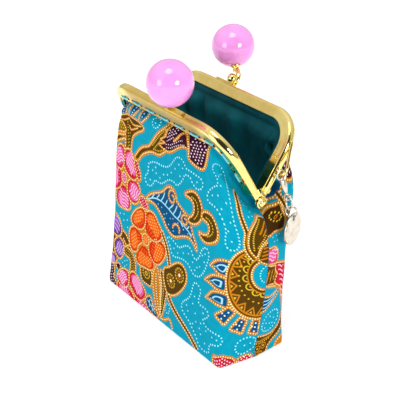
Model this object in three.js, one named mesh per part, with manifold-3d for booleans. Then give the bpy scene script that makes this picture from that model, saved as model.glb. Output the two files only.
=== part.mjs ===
// A small printed-cotton clutch purse on a sewn-in metal kiss-lock frame.
// Millimetres, +Z up. The origin is the middle of the flat base, +X runs along
// the purse's width and -Y is its front. The mouth stands open as in use.

import * as THREE from 'three';
import { mergeVertices } from 'three/addons/utils/BufferGeometryUtils.js';
import Module from 'manifold-3d';

const wasm = await Module();
wasm.setup();

// ---------------------------------------------------------------- sizes
const HINGE_Y = 5.1;            // hinge axis: runs along X at this y and z
const HINGE_Z = 74;
const FRONT_LEAN = 30;          // degrees that each frame half leans open
const BACK_LEAN = 34.4;

const FRAME_HALF_WIDTH = 44.6;  // outer edge of the arms
const FRAME_TOP = 39.8;         // outer edge of the bar, from the hinge axis
const FRAME_CORNER_R = 16;      // outer corner radius
const CHANNEL_DEPTH = 5.4;      // folded channel that holds the cloth
const CHANNEL_T_BAR = 4.2;      // channel thickness over the bar
const CHANNEL_T_END = 3.9;      // and at the lower end of the arms
const CHANNEL_WALL = 0.55;
const CHANNEL_FOLD_R = 1.4;     // rounding of the outer fold
const ARM_END = 4.6;            // where the channel stops above the hinge
const TAB_WIDTH = 3.6;          // flat tabs that carry the rivets
const TAB_END_R = 2.3;
const TAB_T = 0.6;
const RIVET_HOLE_R = 1.25;

const CLOTH_T = 1.0;            // printed outer cotton with its interfacing
const LINING_T = 1.0;
const LAYER_GAP = 0.3;          // gap between the layers
const SEAM_GAP = 0.15;          // half gap between the two panels at the seams
const FOLD_PATCH = 0.1;        // patch over which the layers' fold is averaged
const FOLD_SLACK = 0.15;         // extra room for the lining there
const CLOTH_N = 1.15;           // outer face of the cloth inside the channel
const LIP_R = FRAME_CORNER_R - CHANNEL_DEPTH;
const EDGE_R = FRAME_CORNER_R - 1.6;
const HOOK_R = LIP_R - 0.5;
const ARC_X = FRAME_HALF_WIDTH - FRAME_CORNER_R;   // corner arc centre
const ARC_S = FRAME_TOP - FRAME_CORNER_R;

const BALL_R = 10;              // clasp balls
const BALL_AT = { x: 15.7, s: 56.4, n: -2.4 };      // ball centre, frame plane
const POST_R = 1.15;
const BEAD_R = 2.4;

const EAR_WIRE_R = 0.75;        // side ear of the back half
const DISC_R = 7.2;             // charm
const DISC_T = 1.1;
const LINK_R = 2.7;
const LINK_WIRE_R = 0.45;

// Wall sections from the base up, one row each, for the front and back panel:
// height at the middle and at the side seam, half width at the upright
// corners, wall y, seam x, seam y, corner rounding, belly of the wide face.
const COLS = ['zMid', 'zSeam', 'half', 'wallY', 'seamX', 'seamY', 'round', 'belly'];
const FRONT_WALL = [
  [3.0, 3.0, 47.3, -18.3, 49.2, 0.3, 0.03, 0.0],
  [15.0, 14.0, 46.0, -17.6, 50.8, 1.1, 0.06, 0.2],
  [42.0, 38.0, 44.8, -16.0, 52.8, 2.8, 0.08, 0.3],
  [68.0, 56.0, 44.6, -14.6, 52.4, 4.0, 0.09, 0.5],
  [87.0, 66.5, 44.4, -13.4, 48.3, 4.8, 0.13, 0.8],
];
const BACK_WALL = [
  [3.0, 3.0, 47.3, 18.3, 49.2, 0.3, 0.03, 0.0],
  [15.0, 14.0, 47.0, 18.2, 50.8, 1.1, 0.05, 0.0],
  [42.0, 38.0, 46.8, 19.4, 52.8, 2.8, 0.07, 0.0],
  [64.0, 56.0, 46.8, 21.2, 52.4, 4.0, 0.10, 0.3],
  [82.0, 66.5, 46.6, 25.0, 48.3, 4.8, 0.15, 0.5],
];
const WALL_CORNER = 0.725;      // place of the upright corner along a section
const ARC_START = 0.44;         // place of the frame's corner arc along its edge
const ARC_STOP = 0.66;
// spline knots of: five wall rows, the turn under the lip, the lip, the cut edge
const KNOTS = [0, 12, 39, 64, 82, 100, 103, 109].map((k) => k / 109);
// levels along the wall that the mesh uses, base edge to cut edge
const LEVELS = [0, 0.11, 0.24, 0.38, 0.5, 0.62, 0.72, 0.8, 0.86, 0.895, 100 / 109, 0.931, 103 / 109, 0.972, 1];
// columns of the mesh from the middle of a panel to its side seam
const HALF_COLUMNS = [0, 0.15, 0.3, 0.44, 0.5, 0.555, 0.61, 0.66, 0.715, 0.77, 0.83, 0.885, 0.93, 0.954, 0.978, 1];
const BASE_EDGE_IN = 2.6;       // how far the flat base starts inside the walls
const BASE_FOLD = 0.3;          // how far the fold at the foot of the walls is eased
const BASE_SEAM_Y = 3;          // the seam along the base runs behind its middle

const rad = THREE.MathUtils.degToRad;
const V = (x, y, z) => new THREE.Vector3(x, y, z);
const smooth = (a, b, x) => THREE.MathUtils.smoothstep(x, a, b);

// ---------------------------------------------------------------- materials
const cotton = new THREE.MeshStandardMaterial({ color: 0x109fbd, roughness: 0.85, metalness: 0 });
const liningCotton = new THREE.MeshStandardMaterial({ color: 0x0a4650, roughness: 0.9, metalness: 0 });
const gold = new THREE.MeshStandardMaterial({ color: 0xd8b65a, roughness: 0.28, metalness: 1 });
const pinkBall = new THREE.MeshStandardMaterial({ color: 0xf4a6e8, roughness: 0.12, metalness: 0 });
const paleGold = new THREE.MeshStandardMaterial({ color: 0xd9cfc0, roughness: 0.3, metalness: 1 });

// ---------------------------------------------------------------- solids
function toSolid(geometry) {
  const g = geometry.clone();
  for (const name of Object.keys(g.attributes)) if (name !== 'position') g.deleteAttribute(name);
  const m = mergeVertices(g, 1e-4);
  return new wasm.Manifold(new wasm.Mesh({
    numProp: 3,
    vertProperties: new Float32Array(m.attributes.position.array),
    triVerts: new Uint32Array(m.index.array),
  }));
}
function fromSolid(solid) {
  const mesh = solid.getMesh();
  const g = new THREE.BufferGeometry();
  g.setAttribute('position', new THREE.BufferAttribute(new Float32Array(mesh.vertProperties), 3));
  g.setIndex(new THREE.BufferAttribute(new Uint32Array(mesh.triVerts), 1));
  g.computeVertexNormals();
  return g;
}
const joined = (geometries) => fromSolid(geometries.map(toSolid).reduce((a, b) => a.add(b)));
const minus = (a, b) => fromSolid(toSolid(a).subtract(toSolid(b)));

// A closed mesh from rows of points: every row joins the next, each row closes
// on itself, and flat fans close both ends.
function closedLoft(rings) {
  const pos = [];
  const idx = [];
  const m = rings[0].length;
  rings.forEach((ring) => ring.forEach((p) => pos.push(p.x, p.y, p.z)));
  for (let k = 0; k + 1 < rings.length; k++) {
    for (let i = 0; i < m; i++) {
      const a = k * m + i, b = k * m + (i + 1) % m, c = a + m, d = b + m;
      idx.push(a, b, d, a, d, c);
    }
  }
  const cap = (k, flip) => {
    const ring = rings[k];
    const dir = new THREE.Vector3().subVectors(rings[k === 0 ? 1 : k][0], rings[k === 0 ? 0 : k - 1][0]);
    const ax = Math.abs(dir.x) > Math.abs(dir.y) ? (Math.abs(dir.x) > Math.abs(dir.z) ? 'x' : 'z') : (Math.abs(dir.y) > Math.abs(dir.z) ? 'y' : 'z');
    const flat = ring.map((p) => (ax === 'x' ? new THREE.Vector2(p.y, p.z) : ax === 'y' ? new THREE.Vector2(p.z, p.x) : new THREE.Vector2(p.x, p.y)));
    const ccw = THREE.ShapeUtils.area(flat) > 0;
    const tris = THREE.ShapeUtils.triangulateShape(flat, []);
    // keep the same turning sense as the ring itself
    tris.forEach(([a, b, c]) => {
      const t = [k * m + a, k * m + b, k * m + c];
      const same = THREE.ShapeUtils.area([flat[a], flat[b], flat[c]]) > 0 === ccw;
      if (same !== flip) idx.push(t[0], t[1], t[2]); else idx.push(t[0], t[2], t[1]);
    });
  };
  cap(0, true);
  cap(rings.length - 1, false);
  return facingOut(pos, idx);
}
function facingOut(pos, idx) {
  let vol = 0;
  for (let i = 0; i < idx.length; i += 3) {
    const [a, b, c] = [idx[i], idx[i + 1], idx[i + 2]].map((k) => V(pos[3 * k], pos[3 * k + 1], pos[3 * k + 2]));
    vol += a.dot(b.cross(c));
  }
  if (vol < 0) for (let i = 0; i < idx.length; i += 3) [idx[i + 1], idx[i + 2]] = [idx[i + 2], idx[i + 1]];
  const g = new THREE.BufferGeometry();
  g.setAttribute('position', new THREE.Float32BufferAttribute(pos, 3));
  g.setIndex(idx);
  g.computeVertexNormals();
  return g;
}
function wire(points, r, sides = 8, steps = 40, closed = false) {
  const curve = new THREE.CatmullRomCurve3(points, closed, 'centripetal');
  const circle = new THREE.Shape();
  for (let i = 0; i <= sides; i++) {
    const a = (i / sides) * Math.PI * 2;
    if (i === 0) circle.moveTo(r, 0); else circle.lineTo(r * Math.cos(a), r * Math.sin(a));
  }
  return new THREE.ExtrudeGeometry(circle, { extrudePath: curve, steps, bevelEnabled: false });
}
const ball = (r, p, w = 14, h = 10) => new THREE.SphereGeometry(r, w, h).translate(p.x, p.y, p.z);
// A turned piece along any axis: profile rows are [radius, distance].
function turned(profile, from, dir, segments = 20) {
  const g = new THREE.LatheGeometry(profile.map(([r, h]) => new THREE.Vector2(r, h)), segments);
  g.applyQuaternion(new THREE.Quaternion().setFromUnitVectors(V(0, 1, 0), dir.clone().normalize()));
  return g.translate(from.x, from.y, from.z);
}

// ---------------------------------------------------------------- frame plane
// side -1 is the front half, +1 the back half. x runs along the bar, s is the
// distance from the hinge axis and n the distance outward from the plane.
const LEAN = { '-1': rad(FRONT_LEAN), 1: rad(BACK_LEAN) };
function framePoint(side, x, s, n) {
  const th = LEAN[side];
  return V(x, HINGE_Y + side * (s * Math.sin(th) + n * Math.cos(th)), HINGE_Z + s * Math.cos(th) - n * Math.sin(th));
}
const frameDir = (side, x, s, n) => framePoint(side, x, s, n).sub(framePoint(side, 0, 0, 0));

// ---------------------------------------------------------------- cloth shape
// t runs from -1 (left seam) over the wide face to +1 (right seam).
function wallPoint(side, row, t) {
  const r = Object.fromEntries(COLS.map((c, i) => [c, row[i]]));
  const at = Math.abs(t);
  const A = new THREE.Vector2(0, r.wallY), C = new THREE.Vector2(r.half, r.wallY), E = new THREE.Vector2(r.seamX, r.seamY);
  const q = new THREE.Vector2();
  if (at <= WALL_CORNER - r.round) q.lerpVectors(A, C, at / WALL_CORNER);
  else if (at >= WALL_CORNER + r.round) q.lerpVectors(C, E, (at - WALL_CORNER) / (1 - WALL_CORNER));
  else {
    const a = new THREE.Vector2().lerpVectors(A, C, (WALL_CORNER - r.round) / WALL_CORNER);
    const b = new THREE.Vector2().lerpVectors(C, E, r.round / (1 - WALL_CORNER));
    const k = (at - (WALL_CORNER - r.round)) / (2 * r.round);
    q.set((1 - k) ** 2 * a.x + 2 * k * (1 - k) * C.x + k * k * b.x, (1 - k) ** 2 * a.y + 2 * k * (1 - k) * C.y + k * k * b.y);
  }
  const y = q.y + side * r.belly * Math.max(0, 1 - (at / WALL_CORNER) ** 2);
  return V(q.x * Math.sign(t), y, r.zMid + (r.zSeam - r.zMid) * smooth(0.6, 1, at));
}
// The cloth's run along the frame: bar, corner arc of radius r, arm, and then
// the top of the side seam just under the rivet.
function edgePoint(side, t, r, n, seamTop) {
  const at = Math.abs(t);
  let x, s;
  if (at <= ARC_START) { x = ARC_X * at / ARC_START; s = ARC_S + r; }
  else if (at <= ARC_STOP) {
    const a = (at - ARC_START) / (ARC_STOP - ARC_START) * Math.PI / 2;
    x = ARC_X + r * Math.sin(a); s = ARC_S + r * Math.cos(a);
  } else {
    const k = (at - ARC_STOP) / (1 - ARC_STOP);
    x = ARC_X + r; s = ARC_S * (1 - k);
  }
  const p = framePoint(side, x, s, n);
  p.lerp(V(seamTop[0], HINGE_Y, seamTop[1]), smooth(0.93, 1, at));
  p.x *= Math.sign(t);
  return p;
}
function wallRows(side, t) {
  const tt = t === 0 ? 1e-9 : t;
  const rows = (side < 0 ? FRONT_WALL : BACK_WALL).map((r) => wallPoint(side, r, tt));
  rows.push(edgePoint(side, tt, HOOK_R - 1.2, CLOTH_N + 1.5, [43.4, 69.9]));
  rows.push(edgePoint(side, tt, LIP_R, CLOTH_N, [41.4, 71.2]));
  rows.push(edgePoint(side, tt, EDGE_R, CLOTH_N, [40.4, 72.4]));
  return rows;
}
function onWall(side, t, w) {
  const R = wallRows(side, t);
  const m = KNOTS.length - 1;
  const tangent = (k) => {
    if (k === 0) return V(0, 0, 0).subVectors(R[1], R[0]).divideScalar(KNOTS[1] - KNOTS[0]);
    if (k >= m - 1) return V(0, 0, 0).subVectors(R[m], R[m - 1]).divideScalar(KNOTS[m] - KNOTS[m - 1]);
    const h0 = KNOTS[k] - KNOTS[k - 1], h1 = KNOTS[k + 1] - KNOTS[k];
    const d0 = V(0, 0, 0).subVectors(R[k], R[k - 1]).divideScalar(h0);
    const d1 = V(0, 0, 0).subVectors(R[k + 1], R[k]).divideScalar(h1);
    return d0.multiplyScalar(h1).addScaledVector(d1, h0).divideScalar(h0 + h1);
  };
  let k = 0;
  while (k < m - 1 && w >= KNOTS[k + 1]) k++;
  const h = KNOTS[k + 1] - KNOTS[k], s = (w - KNOTS[k]) / h;
  return V(0, 0, 0)
    .addScaledVector(R[k], 2 * s ** 3 - 3 * s * s + 1)
    .addScaledVector(tangent(k), (s ** 3 - 2 * s * s + s) * h)
    .addScaledVector(R[k + 1], -2 * s ** 3 + 3 * s * s)
    .addScaledVector(tangent(k + 1), (s ** 3 - s * s) * h);
}
// How much a place belongs to the fold between upright corner and frame corner.
const foldPatch = (t, w) => smooth(0.45, 0.6, Math.abs(t)) * (1 - smooth(0.8, 0.9, Math.abs(t))) * smooth(0.55, 0.7, w) * (1 - smooth(0.86, 0.905, w));
// The inward direction of the wall; at the side seams it stays square to Y so
// that both panels end on flat faces there.
// Where the upright corner runs into the frame's corner it is averaged over a
// wider patch, so that the layers stay apart round the fold there.
function inward(side, t, w) {
  const at = Math.abs(t);
  const et = 1e-3 + FOLD_PATCH * foldPatch(t, w), ew = et;
  const t0 = Math.max(-1, t - et), t1 = Math.min(1, t + et), w0 = Math.max(0, w - ew), w1 = Math.min(1, w + ew);
  const du = onWall(side, t1, w).sub(onWall(side, t0, w));
  const dw = onWall(side, t, w1).sub(onWall(side, t, w0));
  const n = du.cross(dw).normalize().multiplyScalar(side);
  const square = V(-dw.z, 0, dw.x).normalize().multiplyScalar(Math.sign(t) || 1);
  return n.lerp(square, smooth(0.9, 1, at)).normalize();
}
// A layer of cloth between two depths below the outer face, as a closed body:
// rows run from the base seam over the flat base and up to the cut edge.
function layerRow(side, depth, ts, w, gap) {
  return ts.map((t) => {
    // the lining stands a little further in where it turns under the rivet and
    // in the fold
    const slack = depth > CLOTH_T ? 0.5 * smooth(0.93, 0.965, Math.abs(t)) * smooth(0.8, 0.9, w) + FOLD_SLACK * foldPatch(t, w) : 0;
    const p = onWall(side, t, w).addScaledVector(inward(side, t, w), depth + slack);
    p.y += side * gap * smooth(0.9, 1, Math.abs(t));
    return p;
  });
}
function baseRow(side, depth, ts, k, gap) {
  // k = 0 on the middle seam of the base, 1 at the edge of the flat base
  const row = side < 0 ? FRONT_WALL[0] : BACK_WALL[0];
  const half = row[2] - BASE_EDGE_IN - depth, wallY = row[3] - side * (BASE_EDGE_IN + depth), seamX = row[4] - BASE_EDGE_IN - depth;
  return ts.map((t) => {
    const at = Math.max(Math.abs(t), 1e-9);
    const edge = wallPoint(side, [0, 0, half, wallY, seamX, 0, 0.05, 0], t === 0 ? 1e-9 : t);
    const mid = V(Math.sign(t) * Math.min(at / WALL_CORNER * 0.86, 0.86 + (at - WALL_CORNER) * 0.2) * half, BASE_SEAM_Y, 0);
    const p = mid.lerp(edge, k);
    p.y += side * gap * (1 - k * (1 - smooth(0.9, 1, at)));
    p.z = depth;
    return p;
  });
}
// The fold between the base and the walls: a crisp edge, softer inside.
function foldRow(side, depth, ts, gap) {
  const row = side < 0 ? FRONT_WALL[0] : BACK_WALL[0];
  const k = 1 - depth / row[0] + (depth > CLOTH_T ? 0.05 : 0);
  const inset = depth + BASE_FOLD * k;
  return ts.map((t) => {
    const p = wallPoint(side, [0, 0, row[2] - inset, row[3] - side * inset, row[4] - inset, row[5], row[6], 0], t === 0 ? 1e-9 : t);
    p.y += side * gap * smooth(0.9, 1, Math.abs(t));
    p.z = depth + BASE_FOLD * 1.1 * k;
    return p;
  });
}
function layerRows(side, depth, ts, gap) {
  return [
    ...[0, 0.5, 1].map((k) => baseRow(side, depth, ts, k, gap)),
    foldRow(side, depth, ts, gap),
    ...LEVELS.map((w) => layerRow(side, depth, ts, w, gap)),
  ];
}
const columns = [...HALF_COLUMNS.slice(1).reverse().map((t) => -t), ...HALF_COLUMNS];
// Outer and inner rows joined over their rim; the seam faces close a panel.
function clothGrid(side, depth0, depth1, gap, seams) {
  const rowsOut = layerRows(side, depth0, columns, gap), rowsIn = layerRows(side, depth1, columns, gap);
  const pos = [], idx = [];
  const nr = rowsOut.length, nc = columns.length;
  [rowsOut, rowsIn].forEach((rows) => rows.forEach((r) => r.forEach((p) => pos.push(p.x, p.y, p.z))));
  const O = (k, i) => k * nc + i, I = (k, i) => nr * nc + O(k, i);
  const quad = (a, b, c, d) => { if (side < 0) idx.push(a, b, c, a, c, d); else idx.push(a, c, b, a, d, c); };
  for (let k = 0; k + 1 < nr; k++) for (let i = 0; i + 1 < nc; i++) {
    quad(O(k, i), O(k, i + 1), O(k + 1, i + 1), O(k + 1, i));
    quad(I(k + 1, i + 1), I(k, i + 1), I(k, i), I(k + 1, i));
  }
  for (let i = 0; i + 1 < nc; i++) {
    quad(O(nr - 1, i), O(nr - 1, i + 1), I(nr - 1, i + 1), I(nr - 1, i));
    if (seams) quad(O(0, i + 1), O(0, i), I(0, i), I(0, i + 1));
  }
  if (seams) for (let k = 0; k + 1 < nr; k++) {
    quad(O(k + 1, 0), I(k + 1, 0), I(k, 0), O(k, 0));
    quad(O(k, nc - 1), I(k, nc - 1), I(k + 1, nc - 1), O(k + 1, nc - 1));
  }
  return { pos, idx };
}
function outerPanel(side) {
  const { pos, idx } = clothGrid(side, 0, CLOTH_T, SEAM_GAP, true);
  return facingOut(pos, idx);
}
// The lining is one sewn pot: front and back share their side seams and the
// middle seam of the base.
function liningPot() {
  const d0 = CLOTH_T + LAYER_GAP, d1 = d0 + LINING_T;
  const f = clothGrid(-1, d0, d1, 0, false), b = clothGrid(1, d0, d1, 0, false);
  const n = f.pos.length / 3;
  const g = new THREE.BufferGeometry();
  g.setAttribute('position', new THREE.Float32BufferAttribute([...f.pos, ...b.pos], 3));
  g.setIndex([...f.idx, ...b.idx.map((i) => i + n)]);
  const m = mergeVertices(g, 1e-3);
  return facingOut(Array.from(m.attributes.position.array), Array.from(m.index.array));
}

// ---------------------------------------------------------------- frame
// The folded channel, as a section swept along arm, arc, bar, arc and arm.
function channel(side) {
  const path = [];
  const put = (x, s, ox, os) => path.push({ x, s, ox, os });
  for (const s of [ARM_END, 11, 18, ARC_S]) put(-FRAME_HALF_WIDTH, s, -1, 0);
  for (let i = 1; i < 8; i++) { const a = i / 8 * Math.PI / 2; put(-ARC_X - FRAME_CORNER_R * Math.cos(a), ARC_S + FRAME_CORNER_R * Math.sin(a), -Math.cos(a), Math.sin(a)); }
  for (const x of [-ARC_X, 0, ARC_X]) put(x, FRAME_TOP, 0, 1);
  for (let i = 1; i < 8; i++) { const a = i / 8 * Math.PI / 2; put(ARC_X + FRAME_CORNER_R * Math.sin(a), ARC_S + FRAME_CORNER_R * Math.cos(a), Math.sin(a), Math.cos(a)); }
  for (const s of [ARC_S, 18, 11, ARM_END]) put(FRAME_HALF_WIDTH, s, 1, 0);
  const rings = path.map((p) => {
    const t = THREE.MathUtils.lerp(CHANNEL_T_END, CHANNEL_T_BAR, smooth(ARM_END, ARC_S, p.s)) / 2;
    const r = CHANNEL_FOLD_R, w = CHANNEL_WALL, d = CHANNEL_DEPTH;
    const sec = [[d, t], [r, t]];
    for (let i = 1; i <= 3; i++) { const a = i / 3 * Math.PI / 2; sec.push([r - r * Math.sin(a), t - r + r * Math.cos(a)]); }
    for (let i = 0; i <= 3; i++) { const a = i / 3 * Math.PI / 2; sec.push([r - r * Math.cos(a), -(t - r) - r * Math.sin(a)]); }
    sec.push([d, -t], [d, -t + w], [w * 1.6, -t + w], [w, -t + w * 1.8], [w, t - w * 1.8], [w * 1.6, t - w], [d, t - w]);
    return sec.map(([m, n]) => framePoint(side, p.x - p.ox * m, p.s - p.os * m, n));
  });
  return closedLoft(rings);
}
// A flat tab below each arm, with the rivet hole, in its own layer along X.
function tab(side, sign, x0, x1, top) {
  const shape = new THREE.Shape();
  const h = TAB_WIDTH / 2;
  shape.moveTo(-h, top);
  shape.lineTo(-h, 0.9);
  for (let i = 0; i <= 10; i++) {
    const a = Math.PI + rad(-18) + i / 10 * (Math.PI + rad(36));
    shape.lineTo(TAB_END_R * Math.cos(a), TAB_END_R * Math.sin(a));
  }
  shape.lineTo(h, 0.9);
  shape.lineTo(h, top);
  const hole = new THREE.Path();
  hole.absarc(0, 0, RIVET_HOLE_R, 0, Math.PI * 2, true);
  shape.holes.push(hole);
  const g = new THREE.ExtrudeGeometry(shape, { depth: x1 - x0, bevelEnabled: false, curveSegments: 8 });
  // shape x -> n, shape y -> s, depth -> x
  const p = g.attributes.position;
  for (let i = 0; i < p.count; i++) {
    const q = framePoint(side, sign * (x0 + p.getZ(i)), p.getY(i), p.getX(i));
    p.setXYZ(i, q.x, q.y, q.z);
  }
  const out = mergeVertices(stripped(g), 1e-4);
  return facingOut(Array.from(out.attributes.position.array), Array.from(out.index.array));
}
function stripped(g) {
  for (const name of Object.keys(g.attributes)) if (name !== 'position') g.deleteAttribute(name);
  return g;
}
function block(side, x0, x1, s0, s1, n0, n1) {
  const g = stripped(new THREE.BoxGeometry(1, 1, 1));
  const p = g.attributes.position;
  for (let i = 0; i < p.count; i++) {
    const q = framePoint(side, p.getX(i) < 0 ? x0 : x1, p.getY(i) < 0 ? s0 : s1, p.getZ(i) < 0 ? n0 : n1);
    p.setXYZ(i, q.x, q.y, q.z);
  }
  const out = mergeVertices(g, 1e-4);
  return facingOut(Array.from(out.attributes.position.array), Array.from(out.index.array));
}
function frameHalf(side) {
  const turn = -side;                  // the front clasp sits at +X, the back one at -X
  const W = FRAME_HALF_WIDTH;
  const outer = side < 0 ? [W - TAB_T, W] : [W - 2 * TAB_T - 0.3, W - TAB_T - 0.3];
  const pieces = [channel(side)];
  for (const sign of [-1, 1]) {
    pieces.push(tab(side, sign, outer[0], outer[1], ARM_END + 1.6));
    if (side > 0) pieces.push(block(side, sign * (W - 2 * TAB_T - 0.3), sign * (W - 0.1), ARM_END + 0.05, ARM_END + 2.2, -TAB_WIDTH / 2, TAB_WIDTH / 2));
  }
  // clasp: a flat strip on the bar, a bead, and a curved neck with a collar
  const at = (x, s, n) => framePoint(side, turn * x, s, n);
  const centre = at(BALL_AT.x, BALL_AT.s, BALL_AT.n);
  const neckTop = at(10.2, 48.4, 0.0);
  const axis = centre.clone().sub(neckTop).normalize();
  pieces.push(block(side, turn * 5.2, turn * 17.4, FRAME_TOP - 0.6, FRAME_TOP + 0.9, -1.3, 1.3));
  pieces.push(ball(BEAD_R, at(8.9, 42.7, -0.2)));
  pieces.push(wire([at(6.4, FRAME_TOP, 0.1), at(6.1, 42.4, 0.1), at(6.9, 45.0, 0.0), at(8.4, 46.6, 0.0), neckTop, centre.clone().addScaledVector(axis, -6)], POST_R, 8, 18));
  pieces.push(turned([[0, 0], [1.5, 0], [2.3, 1.0], [2.3, 1.6], [0, 1.6]], centre.clone().addScaledVector(axis, -(BALL_R + 1.75)), axis));
  if (side > 0) {
    pieces.push(wire([
      [44.2, 27.5], [45.0, 26.2], [46.0, 23.6], [47.4, 20.4], [48.6, 17.6], [48.6, 15.4], [47.0, 14.2], [44.6, 13.4], [44.2, 13.2],
    ].map(([x, s]) => framePoint(side, x, s, 0)), EAR_WIRE_R, 8, 24));
  }
  return { geometry: joined(pieces), centre, axis };
}
function clasped(half) {
  const hole = turned([[0, 0], [POST_R + 0.35, 0], [POST_R + 0.35, 6], [0, 6]], half.centre.clone().addScaledVector(half.axis, -BALL_R - 1), half.axis, 16);
  return minus(new THREE.SphereGeometry(BALL_R, 28, 18).translate(half.centre.x, half.centre.y, half.centre.z), hole);
}
function rivet(sign) {
  const W = FRAME_HALF_WIDTH;
  const x0 = W - 2 * TAB_T - 0.3;      // inner face of the inner tab
  return turned([
    [0, -0.9], [1.6, -0.9], [1.9, -0.3], [0.9, -0.3], [0.9, 1.8], [2.75, 1.8], [2.75, 2.15], [2.2, 2.3], [2.0, 2.9], [1.2, 3.35], [0, 3.5],
  ], V(sign * x0, HINGE_Y, HINGE_Z), V(sign, 0, 0), 24);
}

// ---------------------------------------------------------------- charm
// It hangs on the ear: a sprung hook with its eye, two links and a flat disc.
const EAR_LOW = framePoint(1, 47.2, 14.3, 0);
const CHARM_DOWN = V(0.25, 0.17, -0.953).normalize();
const alongCharm = (d) => EAR_LOW.clone().addScaledVector(CHARM_DOWN, d);
const CHARM_SIDE = V(-0.454, 0.891, 0).addScaledVector(CHARM_DOWN, -V(-0.454, 0.891, 0).dot(CHARM_DOWN)).normalize();
const CHARM_OUT = CHARM_DOWN.clone().cross(CHARM_SIDE).normalize();
function torus(R, r, centre, axis, seg = 20, sides = 8) {
  const g = new THREE.TorusGeometry(R, r, sides, seg);
  g.applyQuaternion(new THREE.Quaternion().setFromUnitVectors(V(0, 0, 1), axis.clone().normalize()));
  return g.translate(centre.x, centre.y, centre.z);
}
const HOOK_RING_R = 1.85, HOOK_RING_WIRE = 0.62, EYE_R = 1.3, EYE_WIRE = 0.5;
const hookTop = -(EAR_WIRE_R + HOOK_RING_WIRE + 0.3);
const ringAt = hookTop + HOOK_RING_R;
const bodyAt = ringAt + HOOK_RING_R + 3.2;
const eyeAt = bodyAt + 3.9 + EYE_R;
const link2At = eyeAt + EYE_R - (EYE_WIRE + LINK_WIRE_R + 0.3) + LINK_R;
const link1At = link2At + LINK_R - (2 * LINK_WIRE_R + 0.3) + LINK_R;
const EAR_DIR = frameDir(1, 1, 0.35, 0).normalize();
function charmClasp() {
  const body = new THREE.SphereGeometry(1, 14, 10).scale(1.15, 1.6, 4.0);
  body.applyQuaternion(new THREE.Quaternion().setFromRotationMatrix(new THREE.Matrix4().makeBasis(CHARM_OUT, CHARM_SIDE, CHARM_DOWN)));
  const c = alongCharm(bodyAt);
  return joined([
    torus(HOOK_RING_R, HOOK_RING_WIRE, alongCharm(ringAt), EAR_DIR.clone().addScaledVector(CHARM_DOWN, -EAR_DIR.dot(CHARM_DOWN))),
    body.translate(c.x, c.y, c.z),
    torus(EYE_R, EYE_WIRE, alongCharm(eyeAt), CHARM_SIDE, 18),
  ]);
}
const HOLE_AT = alongCharm(link1At + LINK_R);
const DISC_TURN = rad(113);
const DISC_N = V(Math.sin(DISC_TURN), -Math.cos(DISC_TURN), 0);
function charmDisc() {
  const shape = new THREE.Shape().absarc(0, 0, DISC_R, 0, Math.PI * 2, false);
  const hole = new THREE.Path();
  hole.absarc(0, DISC_R - 1.9, 1.2, 0, Math.PI * 2, true);
  shape.holes.push(hole);
  const g = new THREE.ExtrudeGeometry(shape, { depth: DISC_T, bevelEnabled: false, curveSegments: 18 });
  g.translate(0, -(DISC_R - 1.9), -DISC_T / 2);
  g.applyMatrix4(new THREE.Matrix4().makeBasis(V(0, 0, 1).cross(DISC_N), V(0, 0, 1), DISC_N));
  return g.translate(HOLE_AT.x, HOLE_AT.y, HOLE_AT.z);
}

// ---------------------------------------------------------------- assembly
const purse = new THREE.Group();
function piece(name, geometry, material) {
  const mesh = new THREE.Mesh(geometry, material.clone());
  mesh.name = name;
  purse.add(mesh);
  return mesh;
}
const frontHalf = frameHalf(-1);
const backHalf = frameHalf(1);
piece('front_panel', outerPanel(-1), cotton);
piece('back_panel', outerPanel(1), cotton);
piece('lining', liningPot(), liningCotton);
piece('front_frame', frontHalf.geometry, gold);
piece('back_frame', backHalf.geometry, gold);
piece('front_ball', clasped(frontHalf), pinkBall);
piece('back_ball', clasped(backHalf), pinkBall);
piece('hinge_rivet_right', rivet(1), gold);
piece('hinge_rivet_left', rivet(-1), gold);
piece('charm_clasp', charmClasp(), paleGold);
piece('charm_link_upper', torus(LINK_R, LINK_WIRE_R, alongCharm(link2At), CHARM_OUT), paleGold);
piece('charm_link_lower', torus(LINK_R, LINK_WIRE_R, alongCharm(link1At), CHARM_SIDE), paleGold);
piece('charm_disc', charmDisc(), paleGold);

export default purse;
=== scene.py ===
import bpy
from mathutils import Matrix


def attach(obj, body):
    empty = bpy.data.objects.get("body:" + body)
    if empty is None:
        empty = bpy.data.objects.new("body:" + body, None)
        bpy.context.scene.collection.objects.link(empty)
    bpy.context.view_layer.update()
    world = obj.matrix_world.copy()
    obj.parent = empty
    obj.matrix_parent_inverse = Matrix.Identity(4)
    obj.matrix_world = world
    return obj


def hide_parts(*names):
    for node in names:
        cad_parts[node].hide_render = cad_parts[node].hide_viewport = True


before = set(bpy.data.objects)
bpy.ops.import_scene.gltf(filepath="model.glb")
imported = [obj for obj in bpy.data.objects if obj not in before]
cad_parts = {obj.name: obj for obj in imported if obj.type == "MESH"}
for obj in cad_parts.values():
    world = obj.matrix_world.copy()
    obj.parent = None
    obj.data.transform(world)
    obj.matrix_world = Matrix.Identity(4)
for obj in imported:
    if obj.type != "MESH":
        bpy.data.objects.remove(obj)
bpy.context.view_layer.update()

import math

import bpy
import numpy as np
from mathutils import Matrix, Vector
from mathutils.geometry import delaunay_2d_cdt

MM = 0.001
scene = bpy.context.scene
rng = np.random.default_rng(20)

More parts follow.
